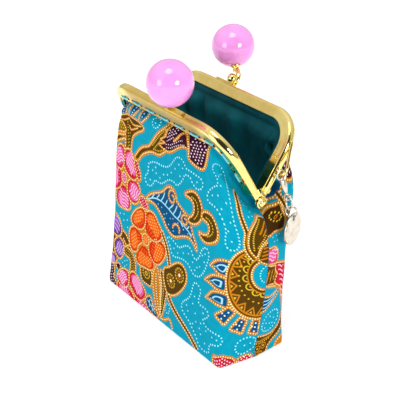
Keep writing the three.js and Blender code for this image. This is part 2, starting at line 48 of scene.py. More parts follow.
# ---------------------------------------------------------------- sizes (mm), as in the CAD
HINGE_Y, HINGE_Z = 5.1, 74.0
LEAN = {-1: math.radians(30.0), 1: math.radians(34.4)}
HALF_W, TOP, CORNER_R = 44.6, 39.8, 16.0
CH_DEPTH, CH_T_BAR, CH_T_END, CH_WALL, FOLD_R = 5.4, 4.2, 3.9, 0.55, 1.4
ARM_END = 4.6
ARC_X, ARC_S = HALF_W - CORNER_R, TOP - CORNER_R
LIP_R, EDGE_R = CORNER_R - CH_DEPTH, CORNER_R - 1.6
HOOK_R = LIP_R - 1.7
CLOTH_N = 1.15
BALL_R = 10.0
BALL_AT = (15.7, 56.4, -2.4)
WALL_CORNER, ARC_START, ARC_STOP = 0.725, 0.44, 0.66
WALL = {
    -1: np.array([[3.0, 3.0, 47.3, -18.3, 49.2, 0.3, 0.03, 0.0],
                  [15.0, 14.0, 46.0, -17.6, 50.8, 1.1, 0.06, 0.2],
                  [42.0, 38.0, 44.8, -16.0, 52.8, 2.8, 0.08, 0.3],
                  [68.0, 56.0, 44.6, -14.6, 52.4, 4.0, 0.09, 0.5],
                  [87.0, 66.5, 44.4, -13.4, 48.3, 4.8, 0.13, 0.8]]),
    1: np.array([[3.0, 3.0, 47.3, 18.3, 49.2, 0.3, 0.03, 0.0],
                 [15.0, 14.0, 47.0, 18.2, 50.8, 1.1, 0.05, 0.0],
                 [42.0, 38.0, 46.8, 19.4, 52.8, 2.8, 0.07, 0.0],
                 [64.0, 56.0, 46.8, 21.2, 52.4, 4.0, 0.10, 0.3],
                 [82.0, 66.5, 46.6, 25.0, 48.3, 4.8, 0.15, 0.5]]),
}
KNOTS = np.array([0, 12, 39, 64, 82, 100, 103, 109.0]) / 109.0
U_CORNER, U_SEAM, V_TOP = 45.0, 65.0, 109.0
FOOT, BASE_IN, BASE_FOLD, BASE_SEAM_Y = 3.0, 2.6, 0.7, 3.0
V_ROUND, V_BASE = FOOT - BASE_FOLD + math.pi / 2 * BASE_FOLD + BASE_IN - BASE_FOLD, 15.0
V_MIN = -(V_ROUND + V_BASE)


def smooth(a, b, x):
    k = np.clip((np.asarray(x, float) - a) / (b - a), 0, 1)
    return k * k * (3 - 2 * k)


def unit(v):
    v = np.asarray(v, float)
    return v / np.maximum(np.linalg.norm(v, axis=-1, keepdims=True), 1e-12)


# ---------------------------------------------------------------- frame plane and cloth shape
def fpt(side, x, s, n):
    th = LEAN[side]
    x, s, n = np.broadcast_arrays(np.asarray(x, float), np.asarray(s, float), np.asarray(n, float))
    return np.stack([x, HINGE_Y + side * (s * math.sin(th) + n * math.cos(th)), HINGE_Z + s * math.cos(th) - n * math.sin(th)], -1)


def wall_row(side, row, t):
    zm, zs, half, wy, sx, sy, rd, be = row
    at = np.abs(t)[..., None]
    A, C, E = np.array([0, wy]), np.array([half, wy]), np.array([sx, sy])
    p1 = A + (C - A) * at / WALL_CORNER
    p2 = C + (E - C) * (at - WALL_CORNER) / (1 - WALL_CORNER)
    a = A + (C - A) * (WALL_CORNER - rd) / WALL_CORNER
    b = C + (E - C) * rd / (1 - WALL_CORNER)
    k = np.clip((at - (WALL_CORNER - rd)) / (2 * rd), 0, 1)
    q = np.where(at <= WALL_CORNER - rd, p1, np.where(at >= WALL_CORNER + rd, p2, (1 - k) ** 2 * a + 2 * k * (1 - k) * C + k * k * b))
    at = at[..., 0]
    y = q[..., 1] + side * be * np.clip(1 - (at / WALL_CORNER) ** 2, 0, None)
    return np.stack([q[..., 0] * np.where(t < 0, -1, 1), y, zm + (zs - zm) * smooth(0.6, 1, at)], -1)


def edge_row(side, t, r, n, top):
    at = np.abs(t)
    a = np.clip((at - ARC_START) / (ARC_STOP - ARC_START), 0, 1) * math.pi / 2
    k = np.clip((at - ARC_STOP) / (1 - ARC_STOP), 0, 1)
    x = np.where(at <= ARC_START, ARC_X * at / ARC_START, np.where(at <= ARC_STOP, ARC_X + r * np.sin(a), ARC_X + r))
    s = np.where(at <= ARC_START, ARC_S + r, np.where(at <= ARC_STOP, ARC_S + r * np.cos(a), ARC_S * (1 - k)))
    p = fpt(side, x, s, n)
    e = np.array([top[0], HINGE_Y, top[1]])
    p = p + (e - p) * smooth(0.93, 1, at)[..., None]
    p[..., 0] *= np.where(t < 0, -1, 1)
    return p


def loft(side, t, w):
    R = [wall_row(side, r, t) for r in WALL[side]]
    R += [edge_row(side, t, HOOK_R, CLOTH_N + 1.5, (43.4, 69.9)), edge_row(side, t, LIP_R, CLOTH_N, (41.4, 71.2)), edge_row(side, t, EDGE_R, CLOTH_N, (40.4, 72.4))]
    R = np.array(R)
    m = len(KNOTS) - 1
    T = np.zeros_like(R)
    for k in range(m + 1):
        if k == 0:
            T[k] = (R[1] - R[0]) / (KNOTS[1] - KNOTS[0])
        elif k >= m - 1:
            T[k] = (R[m] - R[m - 1]) / (KNOTS[m] - KNOTS[m - 1])
        else:
            h0, h1 = KNOTS[k] - KNOTS[k - 1], KNOTS[k + 1] - KNOTS[k]
            T[k] = ((R[k] - R[k - 1]) / h0 * h1 + (R[k + 1] - R[k]) / h1 * h0) / (h0 + h1)
    w = np.broadcast_to(np.asarray(w, float), t.shape)
    k = np.clip(np.searchsorted(KNOTS, w, side="right") - 1, 0, m - 1)
    h = KNOTS[k + 1] - KNOTS[k]
    s = (w - KNOTS[k]) / h
    i = np.arange(len(t))
    c = lambda a: a[:, None]
    return (c(2 * s**3 - 3 * s * s + 1) * R[k, i] + c((s**3 - 2 * s * s + s) * h) * T[k, i]
            + c(-2 * s**3 + 3 * s * s) * R[k + 1, i] + c((s**3 - s * s) * h) * T[k + 1, i])


def u_to_t(u):
    a = np.abs(u)
    return np.sign(u) * np.where(a <= U_CORNER, a / U_CORNER * WALL_CORNER, WALL_CORNER + (a - U_CORNER) / (U_SEAM - U_CORNER) * (1 - WALL_CORNER))


def wall(side, u, v, fold=BASE_FOLD):
    """Outer face of a cloth panel: v runs up the wall from 0, below 0 round the bottom fold and over the base."""
    t = u_to_t(u)
    p = loft(side, t, np.clip(v, 0, V_TOP) / V_TOP)
    low = v < 0
    if low.any():
        tl, vl = t[low], v[low]
        row = WALL[side][0]
        half, wy, sx = row[2] - BASE_IN, row[3] - side * BASE_IN, row[4] - BASE_IN
        e = wall_row(side, [0, 0, half, wy, sx, 0.0, 0.03, 0], tl)
        q = p[low].copy()
        down, bend = FOOT - fold, math.pi / 2 * fold
        d = np.clip(-vl / V_ROUND, 0, 1) * (down + bend + BASE_IN - fold)
        a = np.clip((d - down) / bend, 0, 1) * math.pi / 2
        inset = fold * (1 - np.cos(a)) + np.clip(d - down - bend, 0, None)
        q[:, :2] += (e[:, :2] - q[:, :2]) * (inset / BASE_IN)[:, None]
        q[:, 2] = np.where(d < down, FOOT - d, fold * (1 - np.sin(a)))
        at = np.abs(tl)
        mid = np.stack([np.sign(tl) * np.minimum(at / WALL_CORNER * 0.86, 0.86 + (at - WALL_CORNER) * 0.2) * half, np.full_like(tl, BASE_SEAM_Y), np.zeros_like(tl)], -1)
        b = np.clip((-vl - V_ROUND) / V_BASE, 0, 1)
        q += (mid - q) * b[:, None]
        p[low] = q
    return p


def inward(side, u, v, e=0.06, patch=False, fold=BASE_FOLD):
    """The wall's inward direction; it stays square to Y at the side seams."""
    t = np.abs(u_to_t(u))
    eu = np.full_like(u, e)
    if patch:
        w = v / V_TOP
        eu = eu + 6.0 * smooth(0.45, 0.6, t) * (1 - smooth(0.8, 0.9, t)) * smooth(0.55, 0.7, w) * (1 - smooth(0.86, 0.905, w))
    du = wall(side, np.clip(u + eu, -U_SEAM, U_SEAM), v, fold) - wall(side, np.clip(u - eu, -U_SEAM, U_SEAM), v, fold)
    dv = wall(side, u, np.clip(v + eu, V_MIN, V_TOP), fold) - wall(side, u, np.clip(v - eu, V_MIN, V_TOP), fold)
    n = unit(np.cross(du, dv)) * side
    sq = unit(np.stack([-dv[:, 2], 0 * u, dv[:, 0]], -1)) * np.where(u < 0, -1, 1)[:, None]
    k = (smooth(0.9, 1, t) * (v > 0))[:, None]
    n = np.where((v < -V_ROUND - 0.2)[:, None], np.array([0, 0, 1.0]), n)
    return unit(n + (sq - n) * k)


STITCH_PITCH, STITCH_LONG, STITCH_FROM = 11.2, 5.2, -2.9


def tuck_in(side, u, v):
    """How far the cloth stays back behind the front bar's lower lip."""
    return 1.9 * np.exp(-((v - 99.5) / 2.6) ** 2) * (1 - smooth(28, 42, np.abs(u))) if side < 0 else 0.0 * v


def relief(side, u, v):
    """How far the cloth stands out from its plain shape: soft waves, puckers under the sewn lip, the side seams' groove."""
    au = np.abs(u)
    calm = smooth(-1, 8, v) * (1 - smooth(90, 98, v)) * (1 - smooth(60, 64, au))
    d = (0.30 * np.sin(0.083 * u + 0.9 * side + 0.031 * v) * np.sin(0.071 * v + 1.1)
         + 0.15 * np.sin(0.19 * u - 0.11 * v + 0.5) + 0.09 * np.sin(0.33 * v + 0.14 * u + 2.0 * side)) * calm
    x = 1.048 * u
    d = d + 0.40 * np.cos(2 * math.pi * (x - STITCH_FROM - STITCH_LONG / 2) / STITCH_PITCH + math.pi) * np.exp(-((v - 94.5) / 4.5) ** 2) * (1 - smooth(36, 46, au)) * (1 - smooth(97, 99.6, v))
    d = d - 0.55 * smooth(63.0, 65, au) * smooth(-3, 2, v) * (1 - smooth(88, 96, v))
    if side < 0:
        # the front's left corner fills out under the frame
        d = d + 1.8 * np.exp(-((u + 45) / 6.0) ** 2) * np.exp(-((v - 94) / 8.0) ** 2) * (1 - smooth(97.0, 101.0, v))
        d = d + 1.1 * np.exp(-((u + 39) / 6.5) ** 2) * np.exp(-((v - 94.5) / 5.5) ** 2) * (1 - smooth(96.5, 101.5, v))
    return d - tuck_in(side, u, v)


def skin(side, u, v, depth=0.0):
    return wall(side, u, v) + inward(side, u, v) * (depth - relief(side, u, v))[:, None]


def skin_normal(side, u, v, e=0.12):
    du = skin(side, np.clip(u + e, -U_SEAM, U_SEAM), v) - skin(side, np.clip(u - e, -U_SEAM, U_SEAM), v)
    dv = skin(side, u, np.clip(v + e, V_MIN, V_TOP)) - skin(side, u, np.clip(v - e, V_MIN, V_TOP))
    return unit(np.cross(du, dv)) * -side


# ---------------------------------------------------------------- materials
def lin(r, g, b):
    f = lambda c: (c / 255 / 12.92) if c / 255 <= 0.04045 else ((c / 255 + 0.055) / 1.055) ** 2.4
    return (f(r), f(g), f(b), 1.0)


class Nodes:
    def __init__(self, name):
        self.mat = bpy.data.materials.new(name)
        self.mat.use_nodes = True
        self.t = self.mat.node_tree
        self.bsdf = self.t.nodes["Principled BSDF"]

    def add(self, kind, **props):
        n = self.t.nodes.new(kind)
        ins = props.pop("ins", {})
        for k, v in props.items():
            setattr(n, k, v)
        for k, v in ins.items():
            if isinstance(v, bpy.types.NodeSocket):
                self.t.links.new(v, n.inputs[k])
            else:
                n.inputs[k].default_value = v
        return n

    def link(self, out, socket):
        self.t.links.new(out, self.bsdf.inputs[socket])

    def set(self, **values):
        for k, v in values.items():
            self.bsdf.inputs[k.replace("_", " ")].default_value = v

    def ramp(self, fac, stops):
        r = self.add("ShaderNodeValToRGB", ins={"Fac": fac})
        el = r.color_ramp.elements
        while len(el) < len(stops):
            el.new(0.5)
        for e, (pos, col) in zip(el, stops):
            e.position, e.color = pos, col
        return r.outputs["Color"]

    def bump(self, height, strength, distance):
        return self.add("ShaderNodeBump", ins={"Height": height, "Strength": strength, "Distance": distance}).outputs["Normal"]


def grey(x):
    return (x, x, x, 1.0)


def mat_batik():
    m = Nodes("batik_cotton")
    col = m.add("ShaderNodeAttribute", attribute_name="Print", attribute_type="GEOMETRY").outputs["Color"]
    uv = m.add("ShaderNodeUVMap", uv_map="cloth").outputs["UV"]
    blot = m.add("ShaderNodeTexNoise", ins={"Vector": uv, "Scale": 0.35, "Detail": 4.0, "Roughness": 0.6}).outputs["Fac"]
    fine = m.add("ShaderNodeTexNoise", ins={"Vector": uv, "Scale": 2.2, "Detail": 2.0}).outputs["Fac"]
    warp = m.add("ShaderNodeTexWave", wave_type="BANDS", bands_direction="X", ins={"Vector": uv, "Scale": 0.62, "Distortion": 0.6, "Detail": 1.0, "Detail Scale": 1.5}).outputs["Fac"]
    weft = m.add("ShaderNodeTexWave", wave_type="BANDS", bands_direction="Y", ins={"Vector": uv, "Scale": 0.62, "Distortion": 0.6, "Detail": 1.0, "Detail Scale": 1.5}).outputs["Fac"]
    weave = m.add("ShaderNodeMath", operation="MAXIMUM", ins={0: warp, 1: weft}).outputs[0]
    a = m.ramp(blot, [(0.3, grey(0.90)), (0.7, grey(1.06))])
    b = m.ramp(fine, [(0.3, grey(0.93)), (0.7, grey(1.05))])
    c = m.ramp(weave, [(0.0, grey(0.88)), (0.6, grey(1.02))])
    x = m.add("ShaderNodeMix", data_type="RGBA", blend_type="MULTIPLY", ins={"Factor": 1.0, 6: col, 7: a}).outputs[2]
    x = m.add("ShaderNodeMix", data_type="RGBA", blend_type="MULTIPLY", ins={"Factor": 1.0, 6: x, 7: b}).outputs[2]
    x = m.add("ShaderNodeMix", data_type="RGBA", blend_type="MULTIPLY", ins={"Factor": 1.0, 6: x, 7: c}).outputs[2]
    m.link(x, "Base Color")
    rough = m.add("ShaderNodeMapRange", ins={"Value": fine, "To Min": 0.72, "To Max": 0.9}).outputs[0]
    m.link(rough, "Roughness")
    h = m.add("ShaderNodeMath", operation="ADD", ins={0: weave, 1: fine}).outputs[0]
    m.link(m.bump(h, 0.35, 0.00006), "Normal")
    m.set(Specular_IOR_Level=0.06)
    return m.mat


def mat_lining():
    m = Nodes("lining_cotton")
    geo = m.add("ShaderNodeTexCoord").outputs["Object"]
    n1 = m.add("ShaderNodeTexNoise", ins={"Vector": geo, "Scale": 90.0, "Detail": 4.0}).outputs["Fac"]
    n2 = m.add("ShaderNodeTexNoise", ins={"Vector": geo, "Scale": 1500.0, "Detail": 3.0}).outputs["Fac"]
    col = m.ramp(n1, [(0.3, lin(0, 70, 78)), (0.7, lin(8, 92, 102))])
    m.link(col, "Base Color")
    m.link(m.add("ShaderNodeMapRange", ins={"Value": n2, "To Min": 0.55, "To Max": 0.8}).outputs[0], "Roughness")
    m.link(m.bump(n2, 0.4, 0.00012), "Normal")
    m.set(Specular_IOR_Level=0.1, Sheen_Weight=0.05, Sheen_Roughness=0.4, Sheen_Tint=lin(120, 190, 205))
    return m.mat


def mat_gold(name, c0, c1, rough0, rough1, grain):
    """Plated metal: the finish runs from satin to polished with the mesh's polish_and_shade attribute, which also
    darkens the base colour of the satin parts as painted reflection shade; fine grain runs along the bar.
    """
    m = Nodes(name)
    uv = m.add("ShaderNodeUVMap", uv_map="metal").outputs["UV"]
    long = m.add("ShaderNodeMapping", ins={"Vector": uv, "Scale": (0.35, 5.0, 1.0)}).outputs["Vector"]
    streak = m.add("ShaderNodeTexNoise", ins={"Vector": long, "Scale": 1.0, "Detail": 3.0, "Roughness": 0.6}).outputs["Fac"]
    geo = m.add("ShaderNodeTexCoord").outputs["Object"]
    cloud = m.add("ShaderNodeTexNoise", ins={"Vector": geo, "Scale": 160.0, "Detail": 2.0}).outputs["Fac"]
    col = m.ramp(m.add("ShaderNodeMath", operation="MULTIPLY_ADD", ins={0: streak, 1: 0.6, 2: m.add("ShaderNodeMath", operation="MULTIPLY", ins={0: cloud, 1: 0.4}).outputs[0]}).outputs[0], [(0.3, c0), (0.7, c1)])
    polish_and_shade = m.add("ShaderNodeAttribute", attribute_name="polish_and_shade", attribute_type="GEOMETRY").outputs["Fac"]
    # painted reflection shade: low values darken the base colour, standing for dark surroundings mirrored in the satin
    # bar
    reflection_shade = m.ramp(polish_and_shade, [(0.0, (0.58, 0.50, 0.34, 1.0)), (0.35, (0.82, 0.73, 0.55, 1.0)), (0.9, grey(1.0))])
    col = m.add("ShaderNodeMix", data_type="RGBA", blend_type="MULTIPLY", ins={"Factor": 1.0, 6: col, 7: reflection_shade}).outputs[2]
    m.link(col, "Base Color")
    r = m.add("ShaderNodeMapRange", ins={"Value": polish_and_shade, "From Min": 0.6, "To Min": rough0, "To Max": rough1}).outputs[0]
    r = m.add("ShaderNodeMath", operation="MULTIPLY_ADD", ins={0: cloud, 1: 0.06, 2: r}).outputs[0]
    m.link(r, "Roughness")
    if grain:
        m.link(m.bump(streak, grain, 0.00004), "Normal")
    m.set(Metallic=1.0)
    return m.mat


def mat_ball():
    m = Nodes("pink_gloss")
    geo = m.add("ShaderNodeTexCoord").outputs["Object"]
    n = m.add("ShaderNodeTexNoise", ins={"Vector": geo, "Scale": 110.0, "Detail": 3.0}).outputs["Fac"]
    m.link(m.ramp(n, [(0.3, lin(238, 148, 222)), (0.7, lin(243, 158, 229))]), "Base Color")
    m.link(m.add("ShaderNodeMapRange", ins={"Value": n, "To Min": 0.10, "To Max": 0.16}).outputs[0], "Roughness")
    m.link(m.bump(n, 0.04, 0.0002), "Normal")
    m.set(Specular_IOR_Level=0.5, Coat_Weight=0.6, Coat_Roughness=0.04)
    return m.mat


def mat_pale():
    m = Nodes("pale_metal")
    geo = m.add("ShaderNodeTexCoord").outputs["Object"]
    n = m.add("ShaderNodeTexNoise", ins={"Vector": geo, "Scale": 420.0, "Detail": 4.0}).outputs["Fac"]
    m.link(m.ramp(n, [(0.3, lin(196, 186, 168)), (0.7, lin(226, 218, 204))]), "Base Color")
    m.link(m.add("ShaderNodeMapRange", ins={"Value": n, "To Min": 0.18, "To Max": 0.34}).outputs[0], "Roughness")
    m.link(m.bump(n, 0.2, 0.00008), "Normal")
    m.set(Metallic=1.0)
    return m.mat


def mat_thread():
    m = Nodes("sewing_thread")
    uv = m.add("ShaderNodeUVMap", uv_map="metal").outputs["UV"]
    twist = m.add("ShaderNodeMapping", ins={"Vector": uv, "Rotation": (0, 0, 0.8)}).outputs["Vector"]
    ply = m.add("ShaderNodeTexWave", wave_type="BANDS", bands_direction="X", ins={"Vector": twist, "Scale": 0.7, "Distortion": 0.3}).outputs["Fac"]
    m.link(m.ramp(ply, [(0.0, lin(40, 174, 204)), (0.7, lin(128, 228, 244))]), "Base Color")
    m.link(m.bump(ply, 0.6, 0.0001), "Normal")
    m.set(Roughness=0.6, Sheen_Weight=0.1)
    return m.mat


def mat_hole_shade():
    """Near-black painted shade for the needle holes: discs set just behind the outer wall, where the holes' depth is in
    shadow.
    """
    m = Nodes("painted_hole_shade")
    geo = m.add("ShaderNodeTexCoord").outputs["Object"]
    n = m.add("ShaderNodeTexNoise", ins={"Vector": geo, "Scale": 900.0, "Detail": 3.0}).outputs["Fac"]
    m.link(m.ramp(n, [(0.3, lin(6, 10, 12)), (0.7, lin(22, 24, 26))]), "Base Color")
    m.link(m.bump(n, 0.5, 0.0001), "Normal")
    m.set(Roughness=0.9, Specular_IOR_Level=0.1)
    return m.mat


MAT = {
    "hole_shade": mat_hole_shade(),
    "batik": mat_batik(),
    "lining": mat_lining(),
    "gold": mat_gold("gold_plate", lin(232, 202, 114), lin(252, 234, 156), 0.30, 0.06, 0.2),
    "pink": mat_ball(),
    "pale": mat_pale(),
    "thread": mat_thread(),
}


# ---------------------------------------------------------------- mesh helpers (all in mm)
class Shell:
    """Vertices and faces that grow piece by piece, with a metal uv and a per-vertex value for the finish and the
    painted reflection shade.
    """

    def __init__(self):
        self.v, self.f, self.uv, self.pol = [], [], [], []

    def add(self, verts, faces, uv=None, polish_and_shade=1.0):
        b = len(self.v)
        verts = np.asarray(verts, float)
        self.v.extend(map(tuple, verts))
        self.f.extend([tuple(b + i for i in f) for f in faces])
        self.uv.extend(map(tuple, uv) if uv is not None else [(p[0], p[2]) for p in verts])
        self.pol.extend([polish_and_shade] * len(verts) if np.isscalar(polish_and_shade) else list(polish_and_shade))
        return self

    def build(self, name, material, slot, angle=38, replaces=(), hole_cutter=None, ride=True):
        me = bpy.data.meshes.new(name)
        me.from_pydata([(x * MM, y * MM, z * MM) for x, y, z in self.v], [], self.f)
        layer = me.uv_layers.new(name="metal")
        idx = np.zeros(len(me.loops), np.int32)
        me.loops.foreach_get("vertex_index", idx)
        layer.data.foreach_set("uv", np.array(self.uv, np.float32)[idx].ravel())
        at = me.attributes.new("polish_and_shade", "FLOAT", "POINT")
        at.data.foreach_set("value", np.array(self.pol, np.float32))
        ob = bpy.data.objects.new(name, me)
        scene.collection.objects.link(ob)
        if hole_cutter is not None:
            cut = hole_cutter.build(name + "_cut", material, slot, ride=False)
            mod = ob.modifiers.new("holes", "BOOLEAN")
            mod.object, mod.operation, mod.solver = cut, "DIFFERENCE", "EXACT"
            dg = bpy.context.evaluated_depsgraph_get()
            me2 = bpy.data.meshes.new_from_object(ob.evaluated_get(dg))
            ob.modifiers.clear()
            ob.data = me2
            bpy.data.objects.remove(cut)
            me = me2
            me.name = name
        me.polygons.foreach_set("use_smooth", [True] * len(me.polygons))
        me.set_sharp_from_angle(angle=math.radians(angle))
        me.materials.clear()
        me.materials.append(material)
        if ride:
            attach(ob, "root")
            for n in replaces:
                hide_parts(n)
        return ob


def frames_along(pts, closed=False):
    """Two square directions at each point of a path, carried along it without twist."""
    p = np.asarray(pts, float)
    if closed:
        tan = unit(np.roll(p, -1, 0) - np.roll(p, 1, 0))
    else:
        tan = unit(np.gradient(p, axis=0))
    ref = np.array([0, 0, 1.0]) if abs(tan[0][2]) < 0.9 else np.array([1.0, 0, 0])
    a = unit(ref - tan[0] * (ref @ tan[0]))
    A = []
    for t in tan:
        a = unit(a - t * (a @ t))
        A.append(a)
    A = np.array(A)
    return tan, A, np.cross(tan, A)


def spline(pts, n=8, closed=False):
    P = np.asarray(pts, float)
    m, out = len(P), []
    for i in range(m if closed else m - 1):
        if closed:
            p0, p1, p2, p3 = P[(i - 1) % m], P[i], P[(i + 1) % m], P[(i + 2) % m]
        else:
            p0, p1, p2, p3 = P[max(i - 1, 0)], P[i], P[i + 1], P[min(i + 2, m - 1)]
        for k in range(n):
            s = k / n
            out.append(0.5 * (2 * p1 + (p2 - p0) * s + (2 * p0 - 5 * p1 + 4 * p2 - p3) * s * s + (3 * p1 - p0 - 3 * p2 + p3) * s**3))
    if not closed:
        out.append(P[-1])
    return np.array(out)


def grid_faces(n, m, closed_n=False, closed_m=True):
    f = []
    for i in range(n if closed_n else n - 1):
        for j in range(m if closed_m else m - 1):
            a, b = i * m + j, i * m + (j + 1) % m
            c, d = ((i + 1) % n) * m + (j + 1) % m, ((i + 1) % n) * m + j
            f.append((a, b, c, d))
    return f


def tube(shell, pts, r, sides=12, closed=False, round_ends=True, flat=1.0, polish_and_shade=1.0, across=None):
    """A round or flattened wire along a path, with domed ends."""
    p = np.asarray(pts, float)
    r = np.full(len(p), r, float) if np.isscalar(r) else np.asarray(r, float)
    tan, A, B = frames_along(p, closed)
    if across is not None:
        A = unit(across - tan * (tan @ np.asarray(across, float))[:, None])
        B = np.cross(tan, A)
    if round_ends and not closed:
        dome = [(0.0, 1.0), (0.5, 0.86), (0.86, 0.5), (1.0, 0.08)]
        h = [(p[0] - tan[0] * r[0] * k, A[0], B[0], r[0] * q) for k, q in dome[:0:-1]]
        e = [(p[-1] + tan[-1] * r[-1] * k, A[-1], B[-1], r[-1] * q) for k, q in dome[1:]]
        p = np.concatenate([[q[0] for q in h], p, [q[0] for q in e]])
        A = np.concatenate([[q[1] for q in h], A, [q[1] for q in e]])
        B = np.concatenate([[q[2] for q in h], B, [q[2] for q in e]])
        r = np.concatenate([[q[3] for q in h], r, [q[3] for q in e]])
    ang = np.arange(sides) / sides * 2 * math.pi
    ring = np.cos(ang)[None, :, None] * A[:, None] + flat * np.sin(ang)[None, :, None] * B[:, None]
    V = (p[:, None] + ring * r[:, None, None]).reshape(-1, 3)
    s = np.concatenate([[0], np.cumsum(np.linalg.norm(np.diff(p, axis=0), axis=1))])
    uv = np.stack([np.repeat(s, sides), np.tile(ang * r.max(), len(p))], -1)
    f = grid_faces(len(p), sides, closed_n=closed)
    if not closed:
        f.append(tuple(range(sides))[::-1])
        f.append(tuple((len(p) - 1) * sides + i for i in range(sides)))
    shell.add(V, f, uv, polish_and_shade)


def lathe(shell, profile, origin, axis, seg=48, polish_and_shade=1.0):
    """A turned piece; the profile's rows are (radius, height) and start and end on the axis."""
    w = unit(axis)
    a = unit(np.cross(w, [0, 0, 1.0] if abs(w[2]) < 0.9 else [1.0, 0, 0]))
    b = np.cross(w, a)
    ang = np.arange(seg) / seg * 2 * math.pi
    d = np.cos(ang)[:, None] * a + np.sin(ang)[:, None] * b
    o = np.asarray(origin, float)
    V, f = [], []
    rings = []
    for r, h in profile:
        if r < 1e-6:
            rings.append([len(V)])
            V.append(o + w * h)
        else:
            rings.append(list(range(len(V), len(V) + seg)))
            V.extend(o + w * h + d * r)
    for p, q in zip(rings[:-1], rings[1:]):
        for j in range(seg):
            k = (j + 1) % seg
            if len(p) == 1 and len(q) > 1:
                f.append((p[0], q[k], q[j]))
            elif len(q) == 1 and len(p) > 1:
                f.append((p[j], p[k], q[0]))
            elif len(p) > 1:
                f.append((p[j], p[k], q[k], q[j]))
    V = np.array(V)
    shell.add(V, f, np.stack([V @ a, V @ w], -1), polish_and_shade)


def arc_profile(points, seg=6):
    """A profile with its inner corners softened."""
    P = [np.array(p, float) for p in points]
    out = [P[0]]
    for a, b, c in zip(P[:-2], P[1:-1], P[2:]):
        k = min(0.35 * np.linalg.norm(b - a), 0.35 * np.linalg.norm(c - b), 0.25)
        p, q = b + unit(a - b) * k, b + unit(c - b) * k
        for i in range(seg + 1):
            s = i / seg
            out.append((1 - s) ** 2 * p + 2 * s * (1 - s) * b + s * s * q)
    out.append(P[-1])
    return out


def plate(shell, outline, place, lo, hi, bevel=0.12, polish_and_shade=1.0):
    """A flat piece: a closed outline (2-D) between two levels, with bevelled edges. place maps (a, b, level) to a point."""
    o = np.asarray(outline, float)
    if np.sum(o[:, 0] * np.roll(o[:, 1], -1) - np.roll(o[:, 0], -1) * o[:, 1]) < 0:
        o = o[::-1]
    t = unit(np.roll(o, -1, 0) - np.roll(o, 1, 0))
    nrm = np.stack([t[:, 1], -t[:, 0]], -1)
    rings = [(o - nrm * bevel, lo), (o, lo + bevel), (o, hi - bevel), (o - nrm * bevel, hi)]
    n = len(o)
    V = np.concatenate([place(r[:, 0], r[:, 1], np.full(n, h)) for r, h in rings])
    f = grid_faces(4, n) + [tuple(range(n))[::-1], tuple(3 * n + i for i in range(n))]
    if np.cross(V[1] - V[0], V[n] - V[0]) @ (V[0] - V.mean(0)) < 0:
        f = [q[::-1] for q in f]
    shell.add(V, f, np.tile(o, (4, 1)), polish_and_shade)


# ---------------------------------------------------------------- camera and stage
AZ, EL, DIST = math.radians(54.63), math.radians(26.0), 465.4
AIM = np.array([-2.93, 7.19, 55.71])
BACK = np.array([math.sin(AZ) * math.cos(EL), -math.cos(AZ) * math.cos(EL), math.sin(EL)])
RIGHT = np.array([math.cos(AZ), math.sin(AZ), 0.0])
UP = np.cross(BACK, RIGHT)
cam = bpy.data.objects.new("camera", bpy.data.cameras.new("camera"))
scene.collection.objects.link(cam)
cam.data.sensor_width, cam.data.sensor_height, cam.data.lens = 36.0, 36.0, 90.0
cam.data.clip_start, cam.data.clip_end = 0.01, 50.0
m = Matrix.Identity(4)
for i, axis in enumerate((RIGHT, UP, BACK)):
    for j in range(3):
        m[j][i] = axis[j]
for j in range(3):
    m[j][3] = (AIM + BACK * DIST)[j] * MM
cam.matrix_world = m
scene.camera = cam
scene.view_settings.view_transform = "Standard"
scene.view_settings.look = "None"

world = bpy.data.worlds.new("studio")
scene.world = world
world.use_nodes = True
wt = world.node_tree
bg = wt.nodes["Background"]
tc = wt.nodes.new("ShaderNodeTexCoord")
sep = wt.nodes.new("ShaderNodeSeparateXYZ")
wt.links.new(tc.outputs["Generated"], sep.inputs[0])
up = wt.nodes.new("ShaderNodeMapRange")
up.inputs["From Min"].default_value = -1.0
up.inputs["From Max"].default_value = 1.0
wt.links.new(sep.outputs["Z"], up.inputs["Value"])
wr = wt.nodes.new("ShaderNodeValToRGB")
for e, (pos, val) in zip([wr.color_ramp.elements[0], wr.color_ramp.elements[1], wr.color_ramp.elements.new(0.5), wr.color_ramp.elements.new(0.62)],
                         [(0.0, 0.6), (1.0, 0.95), (0.5, 0.50), (0.80, 0.86)]):
    e.position, e.color = pos, grey(val)
wt.links.new(up.outputs[0], wr.inputs[0])
# the room behind the camera is darker than the tent round the object
facing = wt.nodes.new("ShaderNodeVectorMath")
facing.operation = "DOT_PRODUCT"
wt.links.new(tc.outputs["Generated"], facing.inputs[0])
facing.inputs[1].default_value = tuple(unit(BACK + 0.22 * RIGHT - 0.05 * UP))
room = wt.nodes.new("ShaderNodeMapRange")
room.interpolation_type = "SMOOTHSTEP"
for k, val in (("From Min", 0.62), ("From Max", 0.84), ("To Min", 1.0), ("To Max", 0.05)):
    room.inputs[k].default_value = val
wt.links.new(facing.outputs["Value"], room.inputs["Value"])
dim = wt.nodes.new("ShaderNodeMix")
dim.data_type, dim.blend_type = "RGBA", "MULTIPLY"
dim.inputs["Factor"].default_value = 1.0
wt.links.new(wr.outputs[0], dim.inputs[6])
wt.links.new(room.outputs[0], dim.inputs[7])
wt.links.new(dim.outputs[2], bg.inputs["Color"])
bg.inputs["Strength"].default_value = 1.0


def area_light(name, direction, dist, size, power, colour=(1, 1, 1), shape="DISK"):
    d = bpy.data.lights.new(name, "AREA")
    d.shape, d.size, d.energy, d.color = shape, size, power, colour
    o = bpy.data.objects.new(name, d)
    scene.collection.objects.link(o)
    p = np.array([0, 2, 70.0]) * MM + unit(direction) * dist
    o.location = p
    o.rotation_euler = Vector(unit(direction)).to_track_quat("Z", "Y").to_euler()
    return o


area_light("key_right", 0.554 * RIGHT - 0.076 * UP + 0.828 * BACK, 1.3, 0.44, 7.2)
area_light("key_left", -0.748 * RIGHT - 0.036 * UP + 0.663 * BACK, 1.3, 0.60, 3.6)
area_light("top", -0.08 * RIGHT + 0.76 * UP + 0.64 * BACK, 1.3, 0.62, 5.0)

